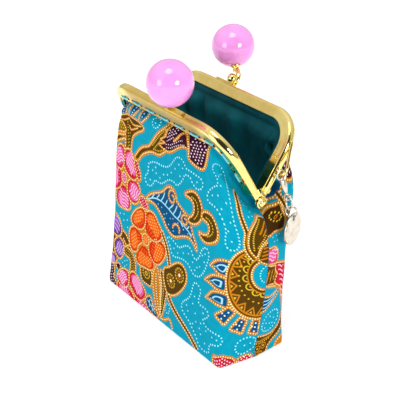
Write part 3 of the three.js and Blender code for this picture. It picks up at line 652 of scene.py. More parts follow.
fm = Nodes("pale_floor")
fgeo = fm.add("ShaderNodeTexCoord").outputs["Object"]
fno = fm.add("ShaderNodeTexNoise", ins={"Vector": fgeo, "Scale": 6.0, "Detail": 3.0}).outputs["Fac"]
fm.link(fm.ramp(fno, [(0.3, grey(0.93)), (0.7, grey(0.95))]), "Base Color")
fm.set(Roughness=0.9, Specular_IOR_Level=0.1, Emission_Color=grey(1.0), Emission_Strength=0.30)
fme = bpy.data.meshes.new("floor")
fme.from_pydata([(-4, -4, 0), (4, -4, 0), (4, 4, 0), (-4, 4, 0)], [], [(0, 1, 2, 3)])
floor = bpy.data.objects.new("floor", fme)
fme.materials.append(fm.mat)
scene.collection.objects.link(floor)


# ---------------------------------------------------------------- the print
# Colours of the print, by name
C = {k: lin(*v) for k, v in {
    "ground": (2, 153, 182), "sky": (168, 238, 249), "edge": (194, 122, 6), "cream": (254, 240, 182), "brown": (84, 56, 6), "dark": (62, 38, 8),
    "yellow": (214, 178, 44), "gold": (196, 122, 24), "navy": (4, 80, 124), "vein": (158, 218, 240), "pink": (222, 92, 158), "blush": (242, 182, 218),
    "red": (194, 24, 46), "orange": (232, 94, 8), "peach": (250, 182, 96), "fire": (204, 40, 8), "purple": (138, 88, 180), "lilac": (200, 168, 226),
    "olive": (138, 100, 12), "plum": (84, 44, 118), "maroon": (58, 14, 36), "petal": (240, 214, 232), "white": (246, 246, 240),
}.items()}


def spaced(path, pitch, closed):
    p = np.asarray(path, float)
    if closed:
        p = np.vstack([p, p[:1]])
    s = np.concatenate([[0], np.cumsum(np.linalg.norm(np.diff(p, axis=0), axis=1))])
    n = max(2, int(round(s[-1] / pitch)))
    at = (np.arange(n) if closed else np.arange(n + 1)) / n * s[-1]
    return np.stack([np.interp(at, s, p[:, 0]), np.interp(at, s, p[:, 1])], -1)


def side_of(path, closed):
    p = np.asarray(path, float)
    t = unit(np.roll(p, -1, 0) - np.roll(p, 1, 0)) if closed else unit(np.gradient(p, axis=0))
    return np.stack([t[:, 1], -t[:, 0]], -1)


def in_poly(poly, pts):
    x, y = pts[:, 0][:, None], pts[:, 1][:, None]
    a, b = poly, np.roll(poly, -1, 0)
    cross = ((a[:, 1] > y) != (b[:, 1] > y)) & (x < (b[:, 0] - a[:, 0]) * (y - a[:, 1]) / np.where(b[:, 1] == a[:, 1], 1e-12, b[:, 1] - a[:, 1]) + a[:, 0])
    return (cross.sum(1) % 2) == 1


class Art:
    """Shapes in paint order, in the panel's own millimetres."""

    def __init__(self):
        self.shapes = []

    def poly(self, pts, col):
        self.shapes.append((np.asarray(pts, float), C[col]))

    def disc(self, c, r, col, n=8):
        a = (np.arange(n) + 0.5) / n * 2 * math.pi
        self.poly(np.stack([c[0] + r * np.cos(a), c[1] + r * np.sin(a)], -1), col)

    def dots(self, pts, r, col, n=6):
        for p in pts:
            self.disc(p, r, col, n)

    def dotted(self, path, pitch=1.75, r=0.45, col="sky", closed=True):
        self.dots(spaced(spline(path, 5, closed), pitch, closed), r, col)

    def band(self, path, width, col, closed=False, raw=False):
        p = np.asarray(path, float) if raw else spline(path, 5, closed)
        n = side_of(p, closed)
        w = np.full(len(p), width / 2)
        if not closed:
            w[[0, -1]] *= 0.55
        if closed:
            self.poly(p + n * w[:, None], col)
        else:
            self.poly(np.vstack([p + n * w[:, None], (p - n * w[:, None])[::-1]]), col)

    def beaded(self, path, width=1.5, col="edge", bead="cream", pitch=1.25, r=0.40, closed=False):
        self.band(path, width * 1.3, col, closed)
        self.dots(spaced(spline(path, 5, closed), pitch * 1.12, closed), r, bead)

    def motif(self, pts, fill, grow=1.0, shrink=0.75, pitch=1.42, r=0.39, edge="edge", bead="cream"):
        p = spline(pts, 5, True)
        if np.sum(p[:, 0] * np.roll(p[:, 1], -1) - np.roll(p[:, 0], -1) * p[:, 1]) < 0:
            p = p[::-1]
        n = side_of(p, True)
        self.poly(p + n * grow, edge)
        self.poly(p - n * shrink, fill)
        self.dots(spaced(p + n * 0.05, pitch, True), r, bead)
        return p - n * shrink

    def fill_dots(self, poly, pitch, row, angle, r, col, inset=0.5):
        c, s = math.cos(angle), math.sin(angle)
        mid = poly.mean(0)
        n = 30
        g = np.array([(i * pitch + (j % 2) * pitch / 2, j * row) for i in range(-n, n) for j in range(-n, n)])
        g = np.stack([g[:, 0] * c - g[:, 1] * s, g[:, 0] * s + g[:, 1] * c], -1) + mid
        q = mid + (poly - mid) * (1 - inset / 3.0)
        self.dots(g[in_poly(q, g)], r, col)

    def strokes(self, poly, centre, n, near, far, width, col, spread=0.75):
        """Short strokes in a petal that run out from the flower's centre."""
        mid = poly.mean(0)
        d = unit(mid - np.asarray(centre))
        s = np.array([-d[1], d[0]])
        size = np.sqrt(((poly - mid) ** 2).sum(1)).mean()
        for k in np.linspace(-1, 1, n):
            a = mid + s * k * size * spread + d * size * near
            b = mid + s * k * size * spread * 1.25 + d * size * (far - 0.35 * abs(k))
            self.band([a, (a + b) / 2 + s * 0.15, b], width, col)

    def petal(self, rim, centre, base, body, mark, lines=5, spots=False):
        """One petal: its base colour shows towards the flower's centre, and its body reaches the outer edge."""
        self.poly(rim, base)
        mid = rim.mean(0)
        d = unit(mid - np.asarray(centre, float))
        s = np.array([-d[1], d[0]])
        along, across = (rim - mid) @ d, (rim - mid) @ s
        near, span, half = along.min(), np.ptp(along), np.abs(across).max()
        put = lambda f, k: mid + d * (near + span * f) + s * (k * half)
        cut = near + span * 0.36
        q = mid + np.multiply.outer(np.maximum(along * 0.90, cut), d) + np.multiply.outer(across * 0.84, s)
        self.poly(q, body)
        for k in np.linspace(-0.5, 0.5, 4):
            self.band([put(0.46, k), put(0.30, k * 0.85), put(0.15, k * 0.6)], 0.7, body)
        if spots:
            self.fill_dots(q, 1.55, 1.45, math.atan2(d[1], d[0]) + 0.3, 0.42, mark, 0.25)
        else:
            for f in np.linspace(0.32, 0.92, lines):
                w = 0.66 * (1 - 0.6 * abs(f - 0.6))
                self.band([put(f - 0.10, -w), put(f + 0.02, -0.3 * w), put(f - 0.01, 0.3 * w), put(f + 0.07, w)], 0.66, mark)

    def flower(self, petals, centre, base, body, mark, lines=5, spots=False):
        """Petals that share their beaded outlines."""
        rims = []
        if len(petals) > 4:
            self.disc(centre, 8.2, "edge", 20)
        for pts in petals:
            p = spline(pts, 5, True)
            if np.sum(p[:, 0] * np.roll(p[:, 1], -1) - np.roll(p[:, 0], -1) * p[:, 1]) < 0:
                p = p[::-1]
            p = p + side_of(p, True) * 0.55
            rims.append(p)
            self.poly(p + side_of(p, True) * 1.35, "edge")
        for p in rims:
            self.petal(p, centre, base, body, mark, lines, spots)
        kept = np.full((1, 2), 1e6)
        for p in rims:
            for b in spaced(p + side_of(p, True) * 0.65, 1.35, True):
                if np.hypot(*(kept - b).T).min() > 1.05:
                    kept = np.vstack([kept, b])
        self.dots(kept[1:], 0.39, "cream")


CLOUDS = [
    [(-12, 72), (-9, 73.6), (-5.5, 74.3), (-2, 74.3), (2, 75), (5, 76.7), (7.5, 79.5), (10, 82.3), (13, 83), (15.5, 82), (17.5, 79.8), (21, 79.5), (24.5, 79), (28, 78.5), (29.6, 76.5), (28.5, 74.3),
     (25.5, 73.3), (22.5, 74.7), (20.5, 76.7), (17, 76.5), (15.3, 74), (13.3, 71.7), (10.8, 70), (8, 70.5), (4, 70), (0, 67.3), (-3, 66.2), (-7, 66), (-8.6, 64), (-11, 62), (-14, 62.3), (-15.2, 65), (-13, 67.5), (-12.5, 70)],
    [(33, 73), (34.3, 75.6), (37, 78), (39, 79.6), (38.6, 82.5), (36.5, 84.8), (35.3, 87.5), (36.3, 91), (39, 94), (42, 95.5), (45, 94), (45.6, 90), (45, 85), (46, 80.5), (47.5, 76), (49, 71.5), (51, 67), (52, 62),
     (51, 58.5), (48.5, 57), (46, 57.8), (45.3, 61), (45.4, 64.8), (43.8, 68), (41, 70), (37, 70.6), (34, 71)],
    [(4.3, 43), (6.5, 44), (9.5, 43.2), (13, 42), (16.5, 43.8), (19.5, 45.4), (22.5, 45), (24.5, 42.8), (27, 42), (29.3, 44.5), (30.8, 48), (33, 50.2), (35.6, 50.3), (36.4, 47.5), (35.2, 44), (33.8, 40.3), (32, 37.3),
     (29.5, 35), (26, 34.3), (23.5, 35.8), (21, 37.4), (17.5, 37.7), (13.5, 37), (9.8, 36), (7.5, 37), (6.5, 39.5)],
    [(28, 31), (26, 30), (25, 26.5), (24, 23), (22, 20.3), (19.3, 18), (17.6, 15), (18.6, 12.3), (21, 10.8), (23.5, 9.3), (26, 7), (28.5, 4.5), (30.5, 1.5), (34, 0.4), (37.6, 1.5), (38, 4.3), (39.5, 6.5), (42.5, 7.5),
     (45.5, 8.7), (46.6, 11.2), (44.5, 13), (41.5, 13.2), (38, 13), (35, 13.8), (33.8, 15.8), (36, 17.5), (37.3, 19.5), (36, 21.3), (33, 21.7), (30.3, 22), (30, 24.5), (31, 27.5), (30.5, 29.8)],
    [(56, 9), (54, 7), (53.7, 4.5), (55.5, 2), (58.5, 1.2), (61.5, 2.2), (64, 4), (64, 8.2), (60.5, 9.8)],
    [(-9.2, 96.6), (-8.8, 93.8), (-6.4, 92.6), (-4, 94.2), (-3.6, 97), (-6.2, 98.6)],
]
SPECKS = [(-9, 70), (-6.5, 72), (-3, 68.5), (3, 71.8), (6, 73.8), (9, 76.5), (12, 79.5), (15, 78.8), (25.5, 76.2), (13, 74.6), (-11, 65), (0, 71), (-6, 69.6), (40, 75.7), (44.5, 76.3), (36.5, 74.2), (46.5, 65.5), (41, 88),
          (42.6, 91), (48.5, 61.5), (42.5, 72), (47.3, 70), (41, 81), (39.5, 85), (9.5, 40), (12.5, 38.9), (17, 40.8), (21, 42.3), (24.5, 39.8), (30, 40), (33, 43.5), (31.5, 46), (26.5, 36.8), (33.5, 47.5), (28, 38.8),
          (27, 24), (26, 20), (28, 16), (22.5, 14.5), (32, 13), (36, 11.2), (40.5, 10.5), (26, 9.8), (32, 7.5), (35, 4.5), (28.5, 12), (33.5, 18.8), (43.5, 10.5), (21.5, 17), (31, 10), (58.5, 5.6), (61.5, 6.2),
          (-36.5, 39), (-33, 40), (-30, 38), (-37, 36), (-33.3, 36.6), (-30, 34), (-6.3, 95.6), (61.5, 50), (61.3, 47), (62.5, 44), (63.6, 52)]


def batik():
    """One repeat of the print, charted over the front panel and its right side."""
    a = Art()
    for c in CLOUDS:
        a.dotted(c)
    a.dots(SPECKS, 0.40, "sky")
    # brown flower head with striped petals, under the bar at the left
    for blue in ([(-34.8, 101.5), (-30.4, 101.5), (-31.2, 97.4), (-34.2, 92.2), (-36.8, 92.4), (-35.4, 96.5)],
                 [(-25, 101.5), (-21.4, 101.5), (-21.8, 98), (-24.6, 93.2), (-27.4, 91.8), (-25.6, 95.5)],
                 [(-17, 101), (-14.4, 97.2), (-15.8, 94.2), (-18.2, 91), (-19.6, 91.6), (-17.6, 95.8)]):
        p = np.array(blue, float)
        a.poly(spline(blue, 4, True), "navy")
        a.dots(spaced([(p[0] + p[1]) / 2, (p[2] + p[-1]) / 2, (p[3] + p[4]) / 2], 1.9, False), 0.50, "vein")
    for line in ([(-35.8, 102), (-36.4, 96.5), (-38.6, 91)], [(-29.4, 102), (-30.4, 97), (-33.4, 91.4)], [(-26, 102), (-26.8, 96), (-29.2, 91)], [(-20.6, 102), (-21.4, 97), (-25.4, 91.4)],
                 [(-17.6, 102), (-18.6, 96.4), (-21.2, 91)], [(-15.4, 101.5), (-13.2, 97.2), (-15.2, 93.4), (-18.4, 90.2)]):
        a.beaded(line, 1.15)
    a.motif([(-47, 90.5), (-42, 89.6), (-37, 90.4), (-32, 91), (-27, 90.6), (-22, 90), (-17, 89), (-17.2, 86.6), (-22.4, 83.2), (-26.6, 79.7), (-28.1, 74.8), (-28.6, 71), (-33.2, 71), (-33.4, 76), (-34.2, 79), (-38.5, 78.4), (-47, 78.6)], "brown")
    a.motif([(-47, 85.4), (-42, 84.4), (-37.4, 84.8), (-33.8, 82), (-34, 79.6), (-38.5, 78.6), (-47, 79)], "olive", shrink=0.5)
    a.fill_dots(np.array([(-47, 84.6), (-42, 83.6), (-37.4, 84), (-34.6, 82), (-35, 80.2), (-39, 79.6), (-47, 80)]), 1.9, 1.5, 0.1, 0.42, "yellow", 0.1)
    a.beaded([(-45, 88.2), (-40, 86.8), (-35, 86.6), (-30, 88.8)], 1.2, r=0.36)
    a.beaded([(-29.6, 88.6), (-26.4, 86.2), (-22.6, 86.8), (-18.8, 88)], 1.0, r=0.34)
    a.beaded([(-29.8, 84.4), (-28.6, 82.6), (-25, 84.2), (-22.4, 85.6)], 0.9, r=0.32)
    a.dots(spaced([(-31.6, 87.4), (-31.2, 80), (-31, 72.4)], 1.5, False), 0.42, "yellow")
    a.dots(spaced([(-29.4, 80.6), (-29.8, 77), (-29.8, 73)], 1.5, False), 0.36, "yellow")
    a.poly(spline([(-47, 77.2), (-41, 76.4), (-36, 77), (-33.8, 78.4), (-34, 75.6), (-38.4, 74), (-47, 73)], 4, True), "brown")
    a.beaded([(-47, 77.6), (-41.5, 77), (-37, 77.2), (-34, 78.2)], 1.3)
    a.beaded([(-47, 73.2), (-41, 73.6), (-37, 74.8), (-34, 76.4)], 1.3)
    # tulip bud with its stem
    bud = a.motif([(-24.5, 70.8), (-21.5, 74.5), (-17.5, 77.7), (-12.5, 79.8), (-10, 82.5), (-6.5, 87), (-3, 91.5), (0, 95.5), (2.5, 99.5), (4.4, 101.5), (6, 99), (3.5, 95), (1.5, 90.5), (0.4, 87), (2.2, 85.2), (1.5, 82.5), (-1, 80.3),
                   (-4.5, 78.4), (-9.5, 78), (-14, 76.3), (-18, 73.8), (-21.5, 70.4)], "brown")
    for row in ([(-9, 81.6), (-5.5, 86), (-2, 90.6), (1, 95)], [(-7.6, 80.6), (-4, 84.6), (-1, 88.6)], [(-8.4, 79.7), (-4, 80.2), (-0.6, 82)]):
        a.dots(spaced(row, 1.35, False), 0.46, "yellow")
    # dark petals with pale spots
    a.motif([(0.5, 83.2), (3.5, 82.7), (7, 84.5), (11, 88), (14.5, 90.2), (17.4, 90.4), (18.2, 88), (18.8, 85.3), (22, 83.8), (26, 83), (29, 83.6), (30.3, 86.5), (31, 90.5), (31, 95), (30, 99), (28.5, 103), (6, 103), (3.6, 97.5),
             (1.4, 92.5), (0.2, 88)], "maroon")
    for row in ([(2.6, 88.6), (5.0, 90.6), (7.0, 92.6)], [(2.9, 90.9), (5.6, 93.3), (8.4, 95.8)], [(3.6, 93.4), (6.6, 96), (9.8, 98.8)], [(4.6, 96), (7.2, 98.3), (9.6, 100.4)], [(5.8, 98.8), (7.2, 100), (8.4, 101)],
                [(2.0, 84.5), (5, 85.3), (8, 87.5), (11.4, 89.9), (15, 91.5)], [(2.0, 86.3), (5.2, 87.3), (8.4, 89.7), (11.0, 92.1), (13.2, 93.4)]):
        a.dots(spaced(row, 1.6, False), 0.41, "petal")
    # the bud's toothed edge against them
    for notch in ([(1.6, 90.8), (-2.4, 87.6), (0.8, 86.8), (2.6, 88.6)], [(1.0, 86.6), (-4.0, 84.0), (-0.4, 82.8), (2.0, 84.4)]):
        a.poly(notch, "maroon")
    a.beaded([(1.0, 94.6), (1.6, 92.6), (1.5, 91), (-0.4, 89.2), (-2.3, 87.6), (-0.8, 87.1), (0.9, 86.8), (-1.4, 85.5), (-3.9, 84.1), (-2, 83.3), (-0.2, 82.8)], 0.95, r=0.34)
    a.fill_dots(np.array([(19, 86), (24, 84), (29, 84.6), (30.4, 90), (30.2, 97), (28, 101.5), (20, 101.5), (19, 94)]), 2.3, 1.7, 0.35, 0.52, "petal", 0.2)
    a.beaded([(7.4, 90.4), (9.6, 93.4), (11.2, 96.3), (13.5, 98.2), (16, 97.4), (17.6, 95), (18.1, 91.5), (18.3, 88)], 1.3)
    a.band([(13.5, 98.6), (16, 99.9), (19.8, 99.4)], 0.8, "petal")
    # blue leaf
    a.motif([(-14, 54.3), (-11.5, 57.5), (-8, 59.7), (-4, 61.3), (0, 63.6), (2.5, 66), (5.5, 67.4), (8.5, 67), (10.2, 65), (11, 62.8), (13.5, 61.5), (16.5, 60), (19, 59.3), (21, 57.5), (22.3, 54.5), (24, 51.5), (26, 49), (27, 46.3),
             (24.5, 48.3), (21, 49.6), (17.5, 49), (14, 47.6), (10.5, 46), (7.5, 45.9), (4, 47.6), (1, 50.5), (-2.5, 53), (-6, 54.7), (-10, 55.2)], "navy", shrink=0.6)
    a.dots([(-1, 55.6), (3, 54.2), (6, 53), (2, 51.6), (5, 49.8), (8.6, 48), (8, 53.6), (11.8, 53), (16, 51.6), (19.6, 51), (-4, 56), (1.2, 53.2)], 0.36, "vein")
    for vein in ([(-13, 55), (-8, 57.4), (-2, 58.2), (4, 57), (9, 55.3), (14, 54.3), (18.5, 52.8), (23, 51.3)], [(-9.4, 57), (-7.4, 59.4)], [(-5.6, 58), (-3.2, 60.8)], [(-2, 58.2), (0, 60.8), (1.2, 63.4)], [(1.6, 57.6), (3.4, 60.6)],
                 [(4.6, 56.8), (7, 59), (8.4, 60.4)], [(8, 55.7), (10, 58.4), (11.4, 61)], [(11.5, 55), (13.4, 57.4), (14.2, 59.6)], [(18.6, 52.8), (20.6, 55)], [(20.4, 52.2), (22.4, 50.4)], [(14, 54.2), (15.6, 52.6)]):
        a.band(vein, 0.62, "vein")
    for curl in ([(10.2, 65), (8.8, 66.4), (6, 66.2), (4.6, 63.9), (5.3, 61.6), (7.6, 60.9), (9.1, 62.3), (8.7, 64.1), (7.3, 64.3)], [(20.5, 57.8), (18.6, 59), (15.8, 58.3), (14.6, 56.3), (15.6, 54.6), (17.6, 54.5), (18.8, 55.8), (18.1, 57.2), (17, 57.1)],
                 [(8, 49.4), (9, 51.3), (11.2, 51.9), (13, 50.6), (12.9, 48.8)]):
        a.beaded(curl, 1.05, pitch=1.1, r=0.32)
    # crescents
    for pts, rows in (([(17.3, 68.3), (20, 70.3), (23.5, 71.3), (27, 70), (29.3, 66.5), (29.4, 62.5), (27.4, 59.3), (24, 57.4), (20.5, 57), (20.3, 58.8), (22.8, 60.8), (23.9, 63.5), (23.4, 66), (21.3, 67.7)],
                       ([(20.2, 69), (23.6, 70), (26.6, 68.2), (28, 64.5), (26.8, 60.8), (23.6, 58.6)], [(23.2, 68.4), (25.5, 66.6), (26.1, 63.6), (24.8, 60.6)])),
                      ([(30, 62.6), (30.2, 65), (33.5, 66.2), (37, 65.8), (40.3, 63.4), (41.6, 60), (40.6, 56.7), (37.5, 54.2), (33.5, 53), (30.5, 53.6), (28.6, 55.4), (32, 55.7), (34.9, 57.2), (35.8, 59.6), (34.3, 61.8)],
                       ([(31.6, 64.2), (35, 64.8), (38.4, 62.9), (39.9, 59.7), (38.6, 56.8), (35, 54.6), (32, 54.4)], [(33.8, 63.4), (36.7, 62), (37.8, 59.6), (36.6, 57.2)]))):
        a.motif(pts, "brown", shrink=0.55)
        mid_row = (np.array([np.interp(np.linspace(0, 1, 9), np.linspace(0, 1, len(r)), np.array(r)[:, k]) for r in rows for k in (0, 1)]))
        a.dots(spaced(spline(np.stack([mid_row[0] * 0.4 + mid_row[2] * 0.6, mid_row[1] * 0.4 + mid_row[3] * 0.6], -1), 5), 1.3, False), 0.44, "yellow")
    # pink flower
    a.poly(spline([(-22.8, 69.4), (-20.6, 69), (-18.8, 65.6), (-18.2, 61.6), (-20.4, 60.8), (-24, 63)], 4, True), "edge")
    a.flower([[(-36.4, 62.6), (-34.9, 65.5), (-34.7, 69.5), (-36.2, 71.4), (-38.6, 71), (-41.2, 68.8), (-43, 66), (-41.6, 63.8), (-39, 62.6)],
              [(-33, 69.8), (-31, 71.4), (-28.4, 71.3), (-26.2, 68.6), (-23.8, 66.8), (-22.2, 63.8), (-24, 61.4), (-27, 61.3), (-30.6, 62.8), (-33.2, 65.6)],
              [(-47.4, 62.4), (-42, 62), (-38.6, 60.8), (-36.8, 59), (-36.2, 56.5), (-37.8, 53.2), (-41, 51.6), (-47.4, 51)],
              [(-29, 56.3), (-26.8, 58.6), (-23, 59.3), (-20.4, 57.8), (-20.2, 54), (-22.4, 50.6), (-25.9, 49.8), (-28.7, 52)],
              [(-39.3, 48.2), (-36.1, 52.8), (-32, 53.5), (-29.7, 50.6), (-28.2, 47.2), (-29, 45), (-33.6, 44), (-38, 44.2)]], (-33, 58.2), "red", "pink", "blush")
    a.motif([(-33.2 + 2.3 * math.cos(k), 58.4 + 2.4 * math.sin(k)) for k in np.arange(0, 6.2, 0.63)], "pink", grow=1.0, shrink=0.25, pitch=1.2, r=0.36)
    a.dots([(-33.6, 59), (-32.4, 58), (-33.6, 57.4), (-32.4, 59.4)], 0.4, "blush")
    red = a.motif([(-24.6, 69), (-22.2, 69.4), (-20.3, 66.8), (-18.8, 63), (-20.6, 61.6), (-22.6, 64.8)], "red", shrink=0.2)
    a.fill_dots(red, 1.3, 1.2, 1.0, 0.32, "blush")
    bud = a.motif([(-19.5, 53.1), (-16.8, 54.9), (-13.6, 53.3), (-12.2, 50.6), (-14.4, 49.6), (-17.6, 50.6)], "red", grow=1.2, shrink=0.1)
    a.fill_dots(bud, 1.3, 1.2, 0.6, 0.34, "blush", 0.2)
    # brown stems, turquoise window and white-dotted corner at the lower left
    a.motif([(-37, 30.4), (-32, 30), (-27.6, 26), (-26.6, 22), (-30.4, 20.4), (-33.6, 22.4), (-35.4, 26)], "brown", shrink=0.4)
    a.motif([(-47, 26), (-42, 26), (-39.6, 24), (-41, 18), (-40.6, 15), (-47, 14)], "brown", shrink=0.4)
    stem = [(-35, 25), (-31.2, 21.2), (-26.4, 20.4), (-24, 17), (-24.4, 11), (-25, 8)]
    a.band(stem, 6.2, "edge")
    a.band(stem, 3.4, "brown")
    sp = spline(stem, 5)
    for k in (-2.4, 2.4):
        a.dots(spaced(sp + side_of(sp, False) * k, 1.35, False), 0.39, "cream")
    for k in (-0.8, 0.8):
        a.dots(spaced(sp + side_of(sp, False) * k, 1.4, False), 0.40, "yellow")
    a.beaded([(-34, 21.4), (-30.4, 23.8), (-27, 25.8)], 1.3)
    a.dots([(-33.4, 13), (-31.6, 14.8), (-29.8, 13.4), (-31.4, 12), (-29.6, 16)], 0.40, "sky")
    corner = a.motif([(-48, 7.6), (-44.4, 8.8), (-41.2, 9), (-40, 6), (-39.8, 1.5), (-37, -2), (-38, -7), (-48, -7)], "maroon", shrink=0.3)
    a.fill_dots(corner, 1.9, 1.5, 0.5, 0.42, "petal", 0.2)
    a.motif([(-38.6, 9.4), (-36.8, 11.2), (-35, 10.2), (-36, 7.6)], "maroon", grow=0.7, shrink=0.2, r=0.34)
    field = a.motif([(-16.4, 19.4), (-9.8, 21.4), (-7.8, 18.8), (-8.2, 12.4), (-11, 11.6), (-15.8, 12.4)], "brown", shrink=0.3)
    a.dots([(-12.2 + 2.7 * math.cos(k), 17.2 + 2.5 * math.sin(k)) for k in np.arange(0, 6.2, 0.5)], 0.5, "yellow")
    a.disc((-12.2, 17.2), 1.3, "yellow", 8)
    a.disc((-12.2, 17.2), 0.65, "brown", 6)
    # purple flower at the left edge
    a.flower([[(-47.6, 28.4), (-42, 27.4), (-38.6, 27), (-36.4, 28.8), (-36.8, 32.6), (-39.8, 35.8), (-43.6, 37), (-47.6, 36.8)], [(-40.4, 21.6), (-37.2, 24.6), (-34.4, 23.4), (-34.1, 19.2), (-36.4, 15.2), (-39.3, 16.6), (-40.3, 19)],
              [(-47.6, 13.6), (-43.6, 13.8), (-40, 13.8), (-39.8, 11.6), (-42, 10.2), (-47.6, 10)]], (-44, 22), "plum", "purple", "lilac", 4)
    # orange flower
    a.flower([[(-24.5, 42), (-20.7, 46.3), (-16.3, 48.3), (-15.1, 45.5), (-15.7, 41.5), (-18.3, 39.1), (-22.4, 38.6), (-24.9, 39.4)],
              [(-13.3, 46.5), (-10.9, 48.9), (-7, 48.9), (-3.9, 46.3), (-1.1, 43.5), (-1.9, 40.4), (-5.8, 38.1), (-10.6, 38.5), (-13.3, 40.9)],
              [(-26.8, 33.5), (-23.2, 36.2), (-18.2, 35.3), (-17.1, 33), (-21, 29.2), (-21.8, 26), (-25, 25), (-26.9, 28)],
              [(-9.3, 32.7), (-6.6, 36.3), (-1, 38), (1.9, 36.5), (1.3, 32.2), (-2.4, 27.7), (-6, 27), (-8.7, 29.5)],
              [(-20.5, 22.9), (-16.8, 29), (-13, 30.2), (-10, 27.9), (-7, 25), (-8.5, 21.8), (-14.4, 20.8), (-19.2, 20.4)]], (-13.3, 34.8), "fire", "orange", "peach", spots=True)
    a.motif([(-13.2 + 2.9 * math.cos(k), 34.8 + 2.9 * math.sin(k)) for k in np.arange(0, 6.2, 0.52)], "orange", grow=1.0, shrink=0.3, pitch=1.2, r=0.38)
    a.dots([(-13.2 + 1.3 * math.cos(k), 34.8 + 1.3 * math.sin(k)) for k in np.arange(0, 6.2, 1.05)] + [(-13.2, 34.8)], 0.42, "peach")
    stem = [(-0.2, 44.2), (3.4, 38.6), (5.6, 33), (6.8, 28.6)]
    a.band(stem, 2.9, "edge")
    a.band(stem, 0.9, "brown")
    sp = spline(stem, 5)
    for k in (-1.0, 1.0):
        a.dots(spaced(sp + side_of(sp, False) * k, 1.35, False), 0.39, "cream")
    # pink flower at the bottom
    a.flower([[(-35.7, 5), (-32.6, 8.9), (-28.6, 9.3), (-27.7, 5.8), (-28.9, 2.4), (-32.8, 1.1), (-35.7, 2.4)],
              [(-25.7, 8.8), (-23.8, 11.4), (-20.5, 10.9), (-15.5, 7.5), (-13.6, 4.8), (-16, 1.4), (-20, 1.4), (-23.1, 3.7), (-25.3, 5.8)],
              [(-35.8, -0.6), (-30, 0.2), (-25.4, 0.6), (-22.6, -2.6), (-26, -7), (-34, -6)], [(-20.4, -0.9), (-15, -0.6), (-9.6, -1.4), (-9, -5), (-16, -7), (-20, -4)]], (-25, 0.6), "red", "pink", "blush")
    a.motif([(-12, 3.6), (-8.8, 6.1), (-5.7, 2.2), (-1.6, 0.1), (-3, -2.4), (-9, -1.2), (-11.4, 0.8)], "navy", shrink=0.4)
    for vein in ([(-10.6, 3.4), (-7.4, 1.8), (-3.4, -0.6)], [(-9, 2.8), (-8.6, 4.6)], [(-7, 1.6), (-6.2, 3)], [(-8.4, 2.2), (-8.8, 0.4)], [(-6, 1), (-6.2, -0.8)]):
        a.band(vein, 0.5, "vein")
    # long pointed leaves
    for pts, row in (([(-4.3, 24.8), (-6.5, 19.4), (-6.4, 13.2), (-4.4, 5.4), (-0.8, -0.6), (-0.5, 7.2), (-0.6, 15), (-2, 21.6)], [(-4.2, 20.6), (-3.9, 14.2), (-2.8, 7.8), (-1.4, 3)]),
                     ([(-0.6, 24.4), (3.5, 22), (4.9, 17), (3.9, 9.5), (0.9, -0.2), (0.5, 7.8), (1.1, 16)], [(1.6, 21), (2.6, 16.5), (2.1, 10.2), (1.2, 4.6)])):
        a.motif(pts, "gold" if pts[0][0] < -2 else "brown", grow=1.0, shrink=0.25)
        a.band(row, 0.9, "brown")
        a.dots(spaced(spline(row, 5), 1.3, False), 0.46, "cream" if pts[0][0] < -2 else "yellow")
    a.dots(spaced(spline([(-0.5, 22), (0.2, 14), (0, 6), (0, 1)], 5), 1.35, False), 0.39, "cream")
    a.dots(spaced(spline([(4.2, 7.2), (6.4, 10.2), (8.2, 8.8), (7, 5.2), (4.8, 5)], 5, True), 1.6, True), 0.40, "sky")
    a.beaded([(1.2, -0.8), (4.4, 0.4), (7.4, 2.5), (9, 1.2), (10, -1.4)], 1.3)
    # paddle with two eyelet flowers, and its stem
    a.motif([(2.5, 26.8), (6, 29), (9.5, 32), (13, 34.3), (16.5, 34.7), (19.4, 33), (20.4, 29.5), (19.3, 25.5), (16.3, 21.3), (12.5, 17.8), (8.5, 15.6), (5.5, 15.4), (3.5, 18), (2, 22)], "brown", grow=0.75, shrink=0.65)
    for cx, cy in ((14.8, 28.9), (8.3, 23.0)):
        a.dots([(cx + 3.2 * math.cos(k), cy + 3.2 * math.sin(k)) for k in np.arange(0, 6.2, 2 * math.pi / 14)], 0.52, "yellow")
        a.dots([(cx + 1.9 * math.cos(k), cy + 1.9 * math.sin(k)) for k in np.arange(0.2, 6.4, 2 * math.pi / 9)], 0.44, "gold")
        a.disc((cx, cy), 1.15, "gold", 10)
        a.disc((cx, cy), 0.75, "cream", 8)
    stem = [(6.5, 14.6), (9.5, 11.5), (14, 8.3), (19, 5.3), (24, 2), (29, -2)]
    a.band(stem, 3.4, "edge")
    a.band(stem, 1.3, "brown")
    sp = spline(stem, 5)
    for k in (-1.15, 1.15):
        a.dots(spaced(sp + side_of(sp, False) * k, 1.3, False), 0.40, "cream")
